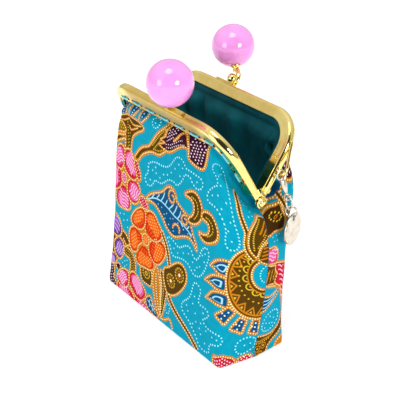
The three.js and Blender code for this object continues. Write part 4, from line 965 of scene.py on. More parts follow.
    # medallion across the side seam
    cx, cy = 64.5, 41.9
    ell = lambda ax, by, n=72, x=cx, y=cy: np.stack([x + ax * np.cos(np.arange(n) / n * 2 * math.pi), y + by * np.sin(np.arange(n) / n * 2 * math.pi)], -1)
    spikes = [
        ([(37.4, 44.2), (38.6, 45.3), (40.4, 47.4), (42.8, 49.4), (46.4, 50.8), (50, 50), (49, 46), (46.6, 43), (43, 42.8), (40.4, 43.9), (38.6, 44.3)], True),
        ([(34, 35.9), (35.2, 37), (37.6, 39.1), (40.2, 40.8), (44.4, 42), (47.6, 41.4), (47.4, 38), (46.4, 35.4), (42, 35), (38.4, 35.6), (35.6, 35.9)], True),
        ([(34.8, 27.6), (36, 28.7), (38.2, 31.4), (40.8, 33.3), (44.8, 34.3), (48.4, 33.4), (48.8, 30), (48.2, 27.4), (43.6, 27.7), (39, 27.7), (36.4, 27.6)], True),
        ([(42, 22.4), (44.6, 20.4), (47.2, 18.8), (49.8, 21.8), (52, 24.8), (50.6, 26.6), (48.8, 27.8), (45.4, 25.2)], False),
        ([(50.4, 16.2), (53.4, 14.4), (56.2, 13), (57.2, 16.4), (58, 19.6), (56.4, 21), (54.6, 21.8), (52.4, 19)], False),
        ([(59.8, 12.5), (62.4, 11.6), (64.8, 11.2), (64.8, 15), (64.2, 19.4), (62.6, 19.8), (61, 19.8), (60.6, 16)], False),
    ]
    for pts, leaf in spikes:
        inner = a.motif(pts, "navy", grow=0.8, shrink=0.8)
        if leaf:
            mid = inner.mean(0) + [0.9, 0.0]
            a.poly(mid + (inner - mid) * 0.62, "vein")
            a.poly(mid + (inner - mid) * 0.42, "navy")
        else:
            q = np.array(pts)
            low, high = q[:3].mean(0), q[4:7].mean(0)
            a.dots([low + (high - low) * s for s in (0.16, 0.46, 0.76)] + [q[0] * 0.55 + q[5] * 0.45, q[2] * 0.6 + q[4] * 0.4], 0.45, "white")
    a.poly(ell(18.2, 22.6), "edge")
    a.dots(spaced(ell(17.7, 22.0), 1.3, True), 0.42, "cream")
    a.poly(ell(17.0, 21.2), "brown")
    a.poly(ell(16.4, 20.5), "gold")
    a.poly(ell(15.6, 19.6), "brown")
    for k in range(18):
        b0 = (k + 0.5) / 18 * 2 * math.pi
        w = 2 * math.pi / 18 * 0.48
        on = lambda q, f: np.array([cx + 15.6 * f * math.cos(q), cy + 19.6 * f * math.sin(q)])
        a.poly([on(b0 - w, 1.01), on(b0, 0.78), on(b0 + w, 1.01)], "gold")
        a.poly([on(b0 - w * 0.66, 1.0), on(b0, 0.85), on(b0 + w * 0.66, 1.0)], "brown")
        a.poly([on(b0 - w * 0.28, 0.985), on(b0, 0.91), on(b0 + w * 0.28, 0.985)], "yellow")
    hx, hy = 65.8, 46.4
    a.dots(spaced(ell(12.7, 16.0, 72, hx - 0.6, hy - 1.6), 2.8, True), 0.5, "yellow")
    for k in range(15):
        q = k / 15 * 2 * math.pi
        p = np.array([hx + 9.8 * math.cos(q), hy + 12.4 * math.sin(q)])
        a.disc(p, 2.3, "yellow", 12)
        a.disc(p, 1.65, "brown", 10)
        a.disc(p, 0.55, "yellow", 6)
    a.poly(ell(9.9, 12.3, 60, hx, hy), "gold")
    a.poly(ell(9.4, 11.7, 60, hx, hy), "brown")
    a.poly(ell(8.4, 10.6, 60, hx, hy), "edge")
    a.dots(spaced(ell(7.9, 10.0, 60, hx, hy), 1.35, True), 0.39, "cream")
    a.poly(ell(7.2, 9.2, 60, hx, hy), "ground")
    a.dots(spaced(ell(4.2, 5.8, 40, hx, hy), 1.7, True), 0.40, "sky")
    # stems and leaves above the medallion
    stem = [(54, 93), (51.6, 88.6), (50.8, 84.5), (51.6, 79), (53.6, 74), (55.2, 69.8), (55, 63.5), (56, 59.2), (58.8, 55.5)]
    a.band(stem, 3.4, "edge")
    a.band(stem, 1.2, "brown")
    sp = spline(stem, 5)
    for k in (-1.15, 1.15):
        a.dots(spaced(sp + side_of(sp, False) * k, 1.35, False), 0.40, "cream")
    a.dots([(59.4, 91.2), (58.8, 89), (58, 85.5), (58.2, 83.2), (57, 93), (56.2, 90), (55.4, 87), (56, 81)], 0.40, "sky")
    wing = a.motif([(60.4, 56.4), (61.2, 62.4), (63.4, 65.8), (67, 68), (67, 53.6), (63.4, 53.6)], "brown", shrink=0.3)
    for y in (56, 58.4, 60.8, 63.2):
        a.band([(61.2 + (y - 56) * 0.22, y), (63.6, y + 0.9), (66.8, y + 1.2)], 0.9, "gold")
    a.motif([(64.6, 90), (59.6, 81), (56.6, 72), (55.8, 65.2), (56.5, 61), (58, 58.6), (59.6, 57.4), (61, 63.2), (63.4, 68), (66.4, 71.6), (66.8, 78), (66.4, 84)], "brown", grow=1.0, shrink=0.4)
    a.band([(65.2, 83.6), (63, 77.5), (61, 72.6)], 1.0, "edge")
    a.band([(66.4, 78), (64.6, 75.4), (62.6, 71.6)], 0.8, "gold")
    a.dots(spaced(spline([(62, 83.8), (59, 75), (58, 68), (58.4, 61.5)], 5), 1.4, False), 0.50, "yellow")
    a.dots(spaced(spline([(64.2, 72), (62, 67.6), (60.2, 63.4)], 5), 1.4, False), 0.44, "yellow")
    # red flowers at the near bottom corner
    for pts in ([(41.2, 1.6), (43.2, 2.2), (46.4, 3.0), (49.4, 1.7), (52.4, 0.2), (53.6, -3), (49, -8), (42, -8), (40.6, -3)], [(55, -1.4), (58, -0.4), (61.4, -0.4), (63, -2), (60, -6), (55.4, -5)]):
        bud = a.motif(pts, "red", shrink=0.3)
        a.fill_dots(bud, 1.7, 1.5, 0.4, 0.44, "petal", 0.2)
    return a.shapes


def side_strip():
    """The back panel's part of the right side, and the last millimetres of its wide face."""
    a = Art()
    a.dotted([(51, 17.4), (50.6, 13.4), (53, 10.4), (57, 9.2), (61, 10.4), (63.4, 13.6), (62.2, 17.6), (58, 19.6), (54, 19.4)])
    a.dots([(54, 15), (57, 13.2), (60, 14.6), (57, 17), (54.8, 12.4), (60.6, 12.2), (44, 70), (45.4, 66), (43.6, 63), (45.6, 60), (44, 74), (46, 76), (56.6, 66.6), (59, 68), (62, 69), (60.4, 65), (57.6, 63.4), (42, 16), (44, 12), (43, 20)], 0.42, "sky")
    a.motif([(40, 98), (47.6, 97), (48.4, 90), (46.6, 85.6), (43, 83.4), (40, 84)], "maroon")
    a.fill_dots(np.array([(40, 97), (47, 96), (47.4, 90), (45.6, 86), (41, 84.6)]), 2.2, 1.7, 0.5, 0.5, "petal", 0.3)
    a.dots([(46, 81), (44.4, 78.4), (47.6, 78), (46, 74.6), (48.4, 73.6), (44, 72), (47.4, 70), (45.2, 68)], 0.45, "sky")
    a.poly(spline([(66, 100), (60.6, 97), (55, 95), (51.4, 91), (52, 88), (54, 87.2), (57, 88.2), (61, 91), (64, 95)], 4, True), "navy")
    a.beaded([(60.8, 91), (56.8, 88.6), (53.8, 87.6), (51.8, 88.4)], 1.0)
    # dark patch under the hinge, with an eyelet flower
    a.motif([(67, 104), (64.4, 96), (61.6, 89), (59, 86.6), (56.9, 85.5), (55.9, 85.2), (55.7, 84), (55.6, 80), (54.2, 74.8), (53.2, 68.2), (53.6, 67.2), (56.6, 69), (60.6, 72), (67, 73.6)], "dark")
    a.dots([(59.7 + 2.9 * math.cos(k), 80.9 + 2.9 * math.sin(k) + 2.6 * math.cos(k)) for k in np.arange(0, 6.2, 2 * math.pi / 11)], 0.55, "yellow")
    a.disc((59.7, 80.9), 1.1, "gold", 10)
    a.disc((59.7, 80.9), 0.6, "dark", 8)
    strip = [(54.9, 89), (54.6, 85.4), (54.2, 81), (52.8, 75), (51.6, 70)]
    a.band(strip, 2.6, "edge")
    a.band(strip, 0.9, "brown")
    for line in ([(55.8, 88.6), (55.5, 85), (55, 81), (53.6, 75.2)], [(53.8, 88), (53.7, 85.4), (53.4, 81), (52.2, 75.4)]):
        a.dots(spaced(spline(line, 5), 1.4, False), 0.40, "cream")
    a.flower([[(67, 61.4), (62.4, 61.3), (59.2, 58.4), (57.2, 53), (57.8, 50.2), (62.6, 52.8), (67, 55)]], (68, 50), "red", "pink", "blush", 4)
    a.motif([(67, 51.6), (60, 48.4), (54, 45.4), (55.2, 41.6), (56.8, 38.8), (57.4, 36.2), (62.8, 38.4), (67, 39.4)], "brown", shrink=0.4)
    for k in range(3):
        a.band([(56.6 + 3.4 * k, 45.4 + 1.3 * k), (58 + 3.2 * k, 41.8 + 0.9 * k), (59 + 3 * k, 38.8 + 0.5 * k)], 0.9, "gold")
        a.dots([(57.6 + 3.4 * k, 44 + 1.2 * k), (58.8 + 3.2 * k, 41 + 0.9 * k)], 0.42, "yellow")
    a.beaded([(67, 39), (62.6, 37), (56, 33.6), (51, 30.6)], 1.3)
    a.motif([(57, 47.8), (53.6, 45.6), (48, 41.8), (43, 38.8), (40, 36), (40, 13), (44.6, 13.4), (46.8, 17.6), (48.4, 23.4), (50, 28.4), (52.6, 31.8), (55.4, 34.4), (57, 37.2), (55, 40), (57, 43.6)], "red", shrink=0.3)
    for k in range(7):
        a.band([(55.2 - 0.95 * k, 45.2 - 3.4 * k), (53 - 0.9 * k, 43.6 - 3.3 * k), (50.4 - 0.8 * k, 40.6 - 3.2 * k)], 0.6, "blush")
        a.dots([(49.6 - 0.7 * k, 41.2 - 3.2 * k), (47.6 - 0.6 * k, 39.4 - 3.1 * k)], 0.42, "blush")
    a.motif([(67, 31.4), (60, 30), (55, 30.2), (51, 31), (54, 27.4), (60, 24.8), (67, 23.4)], "navy", shrink=0.4)
    for pts in ([(66.6, 29.6), (60, 28.6), (53.6, 29.8)], [(66.6, 27.2), (60, 27), (54.6, 28.6)], [(66.6, 25), (61, 25.4), (56, 27.2)]):
        a.band(pts, 0.55, "vein")
    # brown and gold leaf at the bottom
    a.motif([(67, 7.6), (57.6, 6.5), (53, 6.6), (48.6, 9.6), (46, 18), (43.6, 17), (45, 9), (49, 4.6), (53.6, 2.3), (57, -0.6), (59, -8), (67, -8)], "brown", shrink=0.3)
    a.band([(67, 5.6), (60, 5.0), (54.6, 4.9), (51, 7.4)], 0.9, "gold")
    a.dots(spaced([(56, 3.9), (61, 3.8), (66, 4.2)], 1.5, False), 0.46, "yellow")
    for x, y, r in ((59.6, 1.4, 1.9), (63.6, 0.8, 2.0), (61.6, -2.6, 1.8), (65.6, -2.8, 1.8)):
        a.disc((x, y), r, "edge", 14)
        a.disc((x, y), r - 0.55, "brown", 12)
        a.disc((x, y), 0.6, "yellow", 8)
    a.motif([(51, -1.6), (47.4, 1.2), (44.4, 1.2), (43.4, -6), (50, -7)], "gold", shrink=0.3)
    return a.shapes


def placed(shapes, fn, clip):
    """The same shapes moved by fn, kept only inside clip = (u0, u1, v0, v1)."""
    out = []
    for p, c in shapes:
        q = fn(p)
        if q[:, 0].max() < clip[0] or q[:, 0].min() > clip[1] or q[:, 1].max() < clip[2] or q[:, 1].min() > clip[3]:
            continue
        out.append((q, c, clip))
    return out


TILE = batik()
FLIP = lambda p: np.stack([-92 - p[:, 0], p[:, 1]], -1)
DOWN = lambda p: p - [0, 103.0]
TURN = lambda p: np.stack([-2 - p[:, 0], 101 - p[:, 1]], -1)
V_EDGE = -V_ROUND
FRONT_ART = placed(TILE, lambda p: p, (-46, 65, V_EDGE, 109)) + placed(TILE, FLIP, (-65, -46, V_EDGE, 109)) + placed(TILE, DOWN, (-65, 65, V_MIN, V_EDGE))
BACK_ART = placed(TILE, TURN, (-65, 42, V_EDGE, 109)) + placed(side_strip(), lambda p: p, (42, 65, V_EDGE, 109)) + placed(TILE, DOWN, (-65, 65, V_MIN, V_EDGE))


def triangulate(points, edges):
    vs, _, fs, ov, _, _ = delaunay_2d_cdt([Vector(p) for p in points], edges, [], 0, 5e-4, True)
    return np.array([(v.x, v.y) for v in vs]), [tuple(f) for f in fs], ov


def build_panel(name, side, art):
    pts, edges = [], []

    def loop(poly, closed=True):
        b, n = len(pts), len(poly)
        pts.extend((float(x), float(y)) for x, y in poly)
        edges.extend((b + i, b + (i + 1) % n) for i in range(n if closed else n - 1))

    rim = [(-U_SEAM, V_MIN), (U_SEAM, V_MIN), (U_SEAM, V_TOP), (-U_SEAM, V_TOP)]
    loop(rim)
    for a, b in {((c[0], c[2]), (c[0], c[3])) for _, _, c in art} | {((c[1], c[2]), (c[1], c[3])) for _, _, c in art} | {((c[0], c[2]), (c[1], c[2])) for _, _, c in art}:
        if abs(a[0]) < U_SEAM or abs(b[0]) < U_SEAM or a[1] > V_MIN:
            loop([a, b], False)
    for poly, _, _ in art:
        loop(poly)
    us = np.unique(np.concatenate([np.linspace(-U_SEAM, U_SEAM, 84), np.linspace(39, 51, 19), -np.linspace(39, 51, 19)]))
    vs = np.unique(np.concatenate([np.linspace(V_MIN, 0, 9), np.array([-1.2, -2.2, -2.45, -2.7, -2.95, -3.2, -3.45, -4.3, -V_ROUND]), np.linspace(0, 78, 48), np.linspace(78, V_TOP, 34)]))
    jog = np.random.default_rng(5)
    for v in vs:
        for u in us:
            if abs(u) < U_SEAM - 0.01 and V_MIN + 0.01 < v < V_TOP - 0.01:
                pts.append((u + jog.uniform(-0.05, 0.05), v + jog.uniform(-0.05, 0.05)))
    for u in us:
        pts.extend([(u, V_MIN), (u, V_TOP)])
    for v in vs:
        pts.extend([(-U_SEAM, v), (U_SEAM, v)])
    P, F, _ = triangulate(pts, edges)
    F = np.array(F)
    cen = P[F].mean(1)
    area = np.abs(np.cross(P[F[:, 1]] - P[F[:, 0]], P[F[:, 2]] - P[F[:, 0]]))
    keep = (np.abs(cen[:, 0]) < U_SEAM) & (cen[:, 1] > V_MIN) & (cen[:, 1] < V_TOP) & (area > 1e-7)
    F, cen = F[keep], cen[keep]
    colour = np.tile(np.array(C["ground"]), (len(F), 1))
    for poly, col, clip in art:
        lo, hi = poly.min(0), poly.max(0)
        near = np.nonzero((cen[:, 0] > max(lo[0], clip[0])) & (cen[:, 0] < min(hi[0], clip[1])) & (cen[:, 1] > max(lo[1], clip[2])) & (cen[:, 1] < min(hi[1], clip[3])))[0]
        if len(near):
            hit = near[in_poly(poly, cen[near])]
            colour[hit] = col
    used = np.unique(F)
    new = np.full(len(P), -1)
    new[used] = np.arange(len(used))
    P, F = P[used], new[F]
    P[:, 0] = np.clip(P[:, 0], -U_SEAM, U_SEAM)
    P[:, 1] = np.clip(P[:, 1], V_MIN, V_TOP)
    turn = np.cross(P[F[:, 1]] - P[F[:, 0]], P[F[:, 2]] - P[F[:, 0]]) < 0
    F[turn] = F[turn][:, ::-1]
    # the rim, in order, for the panel's inner face
    e = np.concatenate([F[:, [0, 1]], F[:, [1, 2]], F[:, [2, 0]]])
    key = {(int(a), int(b)) for a, b in e}
    nxt = {a: b for a, b in key if (b, a) not in key}
    start = min(nxt)
    order, k = [start], nxt[start]
    while k != start and len(order) <= len(nxt):
        order.append(k)
        k = nxt[k]
    q = [tuple(P[i]) for i in order]
    b_edges = [(i, (i + 1) % len(q)) for i in range(len(q))]
    gu, gv = np.meshgrid(np.linspace(-63, 63, 64), np.concatenate([np.linspace(V_MIN + 1, 0, 10), np.linspace(2, 78, 30), np.linspace(80, 108, 26)]))
    P2, F2, ov = triangulate(q + [(a, b) for a, b in zip(gu.ravel() + 0.013, gv.ravel() + 0.007)], b_edges)
    rim_to = {}
    for j, src in enumerate(ov):
        for i in src:
            if i < len(q):
                rim_to[order[i]] = j
    F2 = np.array(F2)
    t2 = np.cross(P2[F2[:, 1]] - P2[F2[:, 0]], P2[F2[:, 2]] - P2[F2[:, 0]])
    F2 = F2[np.abs(t2) > 1e-7]
    t2 = np.cross(P2[F2[:, 1]] - P2[F2[:, 0]], P2[F2[:, 2]] - P2[F2[:, 0]])
    F2[t2 < 0] = F2[t2 < 0][:, ::-1]
    P2[:, 0] = np.clip(P2[:, 0], -U_SEAM, U_SEAM)
    P2[:, 1] = np.clip(P2[:, 1], V_MIN, V_TOP)

    gap = lambda p, u: np.stack([p[:, 0], p[:, 1] + side * 0.12 * smooth(61, 65, np.abs(u)), p[:, 2]], -1)
    A = gap(skin(side, P[:, 0], P[:, 1]), P[:, 0])
    NA = skin_normal(side, P[:, 0], P[:, 1])
    B = gap(skin(side, P2[:, 0], P2[:, 1], 0.62), P2[:, 0])
    NB = -skin_normal(side, P2[:, 0], P2[:, 1])
    na = len(A)
    rimf = [(order[i], rim_to[order[i]] + na, rim_to[order[(i + 1) % len(order)]] + na, order[(i + 1) % len(order)]) for i in range(len(order))
            if order[i] in rim_to and order[(i + 1) % len(order)] in rim_to]
    outer = [tuple(f) for f in F]
    inner = [tuple(int(i) + na for i in f[::-1]) for f in F2]
    faces = outer + inner + rimf
    if side > 0:
        faces = [f[::-1] for f in faces]
    V = np.concatenate([A, B]) * MM
    me = bpy.data.meshes.new(name)
    me.from_pydata([tuple(p) for p in V], [], faces)
    me.polygons.foreach_set("use_smooth", [True] * len(me.polygons))
    n_loop = np.array([len(f) for f in faces])
    col = np.concatenate([colour, np.tile(np.array(C["ground"]), (len(faces) - len(F), 1))])
    at = me.color_attributes.new("Print", "FLOAT_COLOR", "CORNER")
    at.data.foreach_set("color", np.repeat(col, n_loop, axis=0).astype(np.float32).ravel())
    uvp = np.concatenate([P, P2])
    idx = np.array([i for f in faces for i in f])
    me.uv_layers.new(name="cloth").data.foreach_set("uv", uvp[idx].astype(np.float32).ravel())
    N = np.concatenate([NA, NB])[idx]
    # the rim's own faces look along the cloth's edge
    first = int(n_loop[: len(outer) + len(inner)].sum())
    for k, f in enumerate(faces[len(outer) + len(inner):]):
        a, b, c = V[f[0]], V[f[1]], V[f[2]]
        N[first + 4 * k: first + 4 * k + 4] = unit(np.cross(b - a, c - a))
    me.normals_split_custom_set([tuple(x) for x in N])
    ob = bpy.data.objects.new(name, me)
    scene.collection.objects.link(ob)
    me.materials.append(MAT["batik"])
    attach(ob, "root")
    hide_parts(name.replace("_cloth", ""))
    print(name, "faces", len(faces), "print shapes", len(art))
    return ob


front_cloth = build_panel("front_panel_cloth", -1, FRONT_ART)
back_cloth = build_panel("back_panel_cloth", 1, BACK_ART)


# ---------------------------------------------------------------- lining
def build_lining():
    cols = np.unique(np.concatenate([np.linspace(-U_SEAM, U_SEAM, 201), np.linspace(40, 50, 11), -np.linspace(40, 50, 11)]))
    rows = np.unique(np.concatenate([np.linspace(V_MIN, 0, 10), np.linspace(0, 78, 36), np.linspace(78, V_TOP, 40)]))
    U, Vv = np.meshgrid(cols, rows)
    u, v = U.ravel(), Vv.ravel()
    parts = []
    for side in (-1, 1):
        base = wall(side, u, v, 2.5)
        n = inward(side, u, v, patch=True, fold=2.5)
        slack = 0.5 * smooth(0.93, 0.965, np.abs(u_to_t(u))) * smooth(87, 98, v) + tuck_in(side, u, v)
        edge_free = 1 - smooth(55, 63, np.abs(u))
        hang = smooth(20, 80, v) * (1 - smooth(95, 100, v)) * edge_free
        x = u + 2.6 * np.sin(0.06 * v + side) + 0.05 * (v - 60) * np.sin(0.11 * u + 2 * side)
        # gathers: round crests with tight valleys between them, of uneven width
        crest = lambda pitch, at: np.sqrt(np.sin(math.pi * x / pitch + at) ** 2 + 0.02)
        fold = 0.95 * crest(16.3, 0.7 * side) + 0.55 * crest(10.1, 2.1 + side) + 0.25 * np.sin(2 * math.pi * x / 31.0 + side)
        soft = 0.5 + 0.5 * np.sin(0.16 * v + 0.10 * u + side) * np.sin(0.12 * u - 0.05 * v)
        # the cloth rolls over where it is sewn in along the corners and arms
        roll = (0.6 + 1.7 * smooth(20, 36, np.abs(u))) * np.exp(-((v - 93.5) / 4.2) ** 2) * edge_free * (1 - smooth(98.5, 100.5, v))
        tuck = 0.9 * np.exp(-((np.abs(u) - 55) / 3.0) ** 2) * np.exp(-((v - 88) / 4.0) ** 2)
        if side > 0:
            roll = roll * (1 + 0.7 * smooth(30, 44, np.abs(u)))
            tuck = tuck + 2.2 * np.exp(-((np.abs(u) - 51) / 3.2) ** 2) * np.exp(-((v - 89 - 0.5 * (51 - np.abs(u))) / 5.0) ** 2)
        g = 2.0 * hang * np.maximum(fold, 0) + 0.8 * soft * smooth(5, 25, v) * (1 - smooth(92, 98, v)) * edge_free + roll + tuck
        parts.append([base + n * (1.25 + slack)[:, None], base + n * (2.2 + slack + g)[:, None]])
    # the two halves share their side and base seams
    seam = (np.abs(u) > U_SEAM - 1e-6) | (v < V_MIN + 1e-6)
    for k in (0, 1):
        both = (parts[0][k][seam] + parts[1][k][seam]) / 2
        parts[0][k][seam] = both
        parts[1][k][seam] = both
    nr, nc = len(rows), len(cols)
    V, F = [], []
    for side, (out, inn) in zip((-1, 1), parts):
        b = len(V)
        V.extend(map(tuple, out * MM))
        V.extend(map(tuple, inn * MM))
        m = nr * nc
        for k in range(nr - 1):
            for i in range(nc - 1):
                a, c2, d, e = k * nc + i, k * nc + i + 1, (k + 1) * nc + i + 1, (k + 1) * nc + i
                o = [a, c2, d, e]
                f = [tuple(b + j for j in o), tuple(b + m + j for j in o[::-1])]
                F.extend(f if side < 0 else [q[::-1] for q in f])
        for i in range(nc - 1):
            a, c2 = (nr - 1) * nc + i, (nr - 1) * nc + i + 1
            q = (b + a, b + c2, b + m + c2, b + m + a)
            F.append(q if side < 0 else q[::-1])
    me = bpy.data.meshes.new("lining_pot")
    me.from_pydata(V, [], F)
    import bmesh
    bm = bmesh.new()
    bm.from_mesh(me)
    bmesh.ops.remove_doubles(bm, verts=bm.verts, dist=0.00003)
    bm.to_mesh(me)
    bm.free()
    me.polygons.foreach_set("use_smooth", [True] * len(me.polygons))
    me.set_sharp_from_angle(angle=math.radians(70))
    ob = bpy.data.objects.new("lining_pot", me)
    scene.collection.objects.link(ob)
    me.materials.append(MAT["lining"])
    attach(ob, "root")
    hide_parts("lining")
    return ob


lining = build_lining()


# ---------------------------------------------------------------- metal frame
def frame_path(m):
    """Stations of the frame at depth m from its outer edge: x, s, outward direction, and the distance along it from the bar's middle."""
    out = []
    r = CORNER_R - m
    for s in np.linspace(ARM_END, ARC_S, 9)[:-1]:
        out.append((-(HALF_W - m), s, -1.0, 0.0))
    for a in np.linspace(0, math.pi / 2, 25)[:-1]:
        out.append((-ARC_X - r * math.cos(a), ARC_S + r * math.sin(a), -math.cos(a), math.sin(a)))
    for x in np.linspace(-ARC_X, ARC_X, 25)[:-1]:
        out.append((x, TOP - m, 0.0, 1.0))
    for a in np.linspace(0, math.pi / 2, 25)[:-1]:
        out.append((ARC_X + r * math.sin(a), ARC_S + r * math.cos(a), math.sin(a), math.cos(a)))
    for s in np.linspace(ARC_S, ARM_END, 9):
        out.append((HALF_W - m, s, 1.0, 0.0))
    P = np.array(out)
    L = np.concatenate([[0], np.cumsum(np.linalg.norm(np.diff(P[:, :2], axis=0), axis=1))])
    return P, L - L[-1] / 2


def half_thick(s):
    return (CH_T_END + (CH_T_BAR - CH_T_END) * smooth(ARM_END, ARC_S, s)) / 2


def drop(side, l):
    """How much lower the front bar's outer lip hangs, at a distance from the bar's middle."""
    return 2.7 * (1 - smooth(28, 44, np.abs(l))) if side < 0 else 0.0 * np.abs(l)


def section(t, low=0.0):
    d, r, w = CH_DEPTH, FOLD_R, CH_WALL
    o = d + low
    sec = [(o - 0.04, t + 0.36), (o - 0.26, t + 0.38), (o - 0.55, t + 0.24), (o - 0.9, t + 0.06), (o - 1.25, t), (o - 2.6, t), (r, t)]
    sec += [(r - r * math.sin(a), t - r + r * math.cos(a)) for a in np.linspace(0, math.pi / 2, 9)[1:]]
    sec += [(-0.12 * (1 - (k / 3) ** 2), -k / 3 * (t - r)) for k in (-2, -1, 0, 1, 2)]
    sec += [(r - r * math.cos(a), -(t - r) - r * math.sin(a)) for a in np.linspace(0, math.pi / 2, 9)]
    sec += [(d - 2.4, -t), (d - 1.0, -t - 0.02), (d - 0.5, -t - 0.08), (d - 0.10, -t - 0.05), (d, -t + w * 0.45), (d - 0.12, -t + w)]
    ri = 0.7
    sec += [(w + ri, -t + w)] + [(w + ri - ri * math.sin(a), -t + w + ri - ri * math.cos(a)) for a in np.linspace(0, math.pi / 2, 5)[1:]]
    sec += [(w + ri - ri * math.cos(a), t - w - ri + ri * math.sin(a)) for a in np.linspace(0, math.pi / 2, 5)]
    sec += [(o - 1.3, t - w), (o - 0.8, t - w + 0.05), (o - 0.32, t - w + 0.26), (o - 0.02, t + 0.04)]
    return np.array(sec)


HOLE_M = CH_DEPTH - 1.75


def lip_path(side):
    """The line of the needle holes, by the distance along it from the bar's middle."""
    P, L = frame_path(HOLE_M)
    Q = P[:, :2] - P[:, 2:] * drop(side, L)[:, None]
    at = lambda p: np.array([np.interp(p, L, Q[:, 0]), np.interp(p, L, Q[:, 1])])
    return at, L[-1]


def stitch_spans():
    at, end = lip_path(1)
    spans, k = [], 0
    p = STITCH_FROM
    while p + STITCH_LONG < end - 1.0:
        spans.append((p, p + STITCH_LONG))
        p += STITCH_PITCH
    p = STITCH_FROM - STITCH_PITCH
    while p > -end + 1.0:
        spans.append((p, p + STITCH_LONG))
        p -= STITCH_PITCH
    return spans


